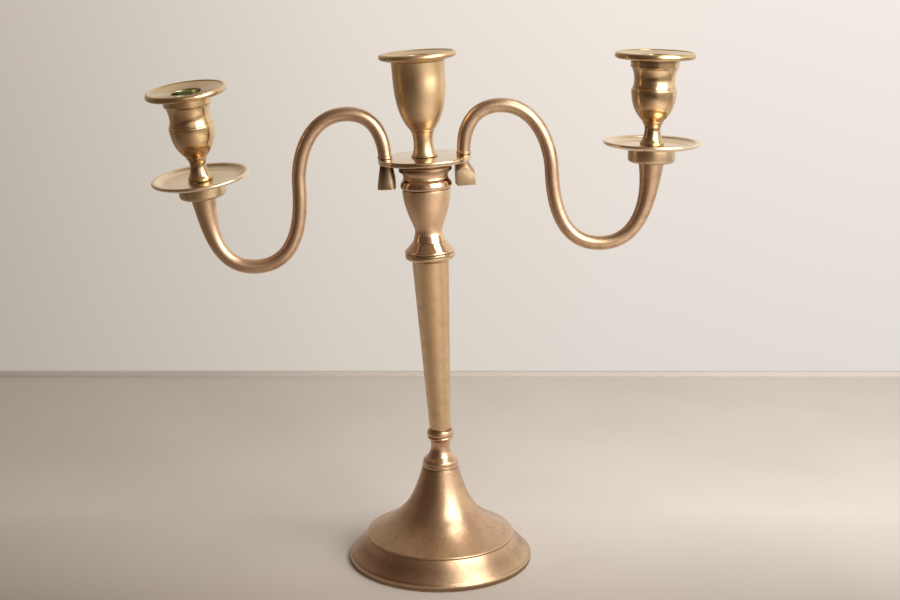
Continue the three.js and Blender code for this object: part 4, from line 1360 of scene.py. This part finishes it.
@dataclass(frozen=True)
class Room:
    """The world: a pale wall behind, and in front a room that is dim on the left and bright on the right."""

    wall: Shades = (
        (0.0, (0.17, 0.12, 0.095)),
        (0.18, (0.30, 0.245, 0.205)),
        (0.37, (0.50, 0.445, 0.39)),
        (0.47, (0.715, 0.655, 0.585)),
        (0.55, (0.805, 0.74, 0.68)),
        (0.63, (0.82, 0.765, 0.71)),
        (1.0, (0.98, 0.92, 0.85)),
    )
    front: Shades = (
        (0.0, (0.13, 0.085, 0.062)),
        (0.3, (0.14, 0.095, 0.07)),
        (0.46, (0.32, 0.25, 0.20)),
        (0.58, (0.80, 0.71, 0.62)),
        (0.7, (1.05, 0.98, 0.90)),
        (0.88, (1.25, 1.2, 1.12)),
    )
    ceiling: Shades = ((0.2, (0.14, 0.095, 0.07)), (0.5, (0.28, 0.215, 0.17)), (0.8, (0.38, 0.31, 0.25)))

    def build(self) -> None:
        """Lights the room. Every ray meets the wall behind the object; the camera meets it all round."""
        world = bpy.data.worlds.new("room")
        bpy.context.scene.world = world
        pad = NodePad(world)
        way = pad.add("SeparateXYZ", {0: pad.add("TexCoord").outputs["Generated"]})
        across, along, up = way.outputs[0], way.outputs[1], way.outputs[2]
        share = pad.times(across, 0.5, 0.5)
        height = pad.math("MINIMUM", pad.times(up, 0.8, 1.16), 1.15)
        wall = pad.mix(1.0, pad.shades(share, self.wall), height, "MULTIPLY")
        behind = pad.ramp(pad.times(along, 0.5, 0.5), (0.46, 0), (0.62, 1))
        around = pad.mix(behind, pad.shades(share, self.front), wall)
        high = pad.times(pad.ramp(up, (0.3, 0), (0.75, 0.95)), pad.ramp(along, (0.1, 1), (0.5, 0.2)))
        around = pad.mix(high, around, pad.shades(share, self.ceiling))
        camera_ray = pad.add("LightPath").outputs["Is Camera Ray"]
        light = pad.add("Background", {"Color": pad.mix(camera_ray, around, wall), "Strength": 1.0})
        pad.add("OutputWorld", {"Surface": light.outputs[0]})


@dataclass
class Studio:
    """Table, room, two soft lamps and the camera, in metres and degrees."""

    table: Table = Table()
    room: Room = Room()
    lamps: tuple[Lamp, ...] = (
        Lamp("window_lamp", (0.54, -0.49, 0.63), (0.70, 0.60), 6.0),
        Lamp("high_lamp", (0.42, -0.12, 1.0), (0.36, 0.36), 1.7),
    )
    camera_place: Place = (0.00754, -1.256, 0.5361)
    camera_pitch: float = 14.583  # downwards
    camera_lens: Point = (68, 36)  # focal length and film width, in millimetres

    def camera(self) -> None:
        """Sets the camera where the photograph was taken, a little above and in front."""
        data = bpy.data.cameras.new("camera")
        data.lens, data.sensor_width = self.camera_lens
        camera = bpy.data.objects.new("camera", data)
        bpy.context.scene.collection.objects.link(camera)
        camera.location = self.camera_place
        camera.rotation_euler = (math.radians(90 - self.camera_pitch), 0, 0)
        bpy.context.scene.camera = camera

    def build(self) -> None:
        """Sets up the whole studio."""
        bpy.context.scene.view_settings.view_transform = "Standard"
        self.table.build()
        self.room.build()
        for lamp in self.lamps:
            lamp.stand()
        self.camera()
        LOG.info("studio: table, room, lamps and camera")


def main() -> None:
    """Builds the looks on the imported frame, from the foot up."""
    logging.basicConfig(level=logging.INFO, format="%(name)s: %(message)s", stream=sys.stdout)
    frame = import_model()
    places = Places()
    Foot().build()
    Column(places).build()
    Hub(places).build()
    left = Arm(
        places, Side.LEFT, reach=167.4, rise=-20.4, bend_rise=-76.4, nod=6,
        nut_turn=-4, cone=10, cone_offset=0.6, cone_painted_shade=0.0,
    )
    right = Arm(
        places, Side.RIGHT, reach=170.5, rise=-14.7, bend_rise=-74.1, nod=0,
        nut_turn=6, cone=33, cone_offset=-1.6, cone_painted_shade=0.46,
    )
    for arm in (left, right):
        arm.build()
        Tip(arm).build()
    fittings = ["foot_washer", "foot_nut", "stem_stud", "socket_stud", "centre_stud"]
    fittings += ["left_stud", "right_stud"]
    DullSteel().dress(frame["nodes"], fittings)
    Studio().build()


if __name__ == "__main__":
    main()
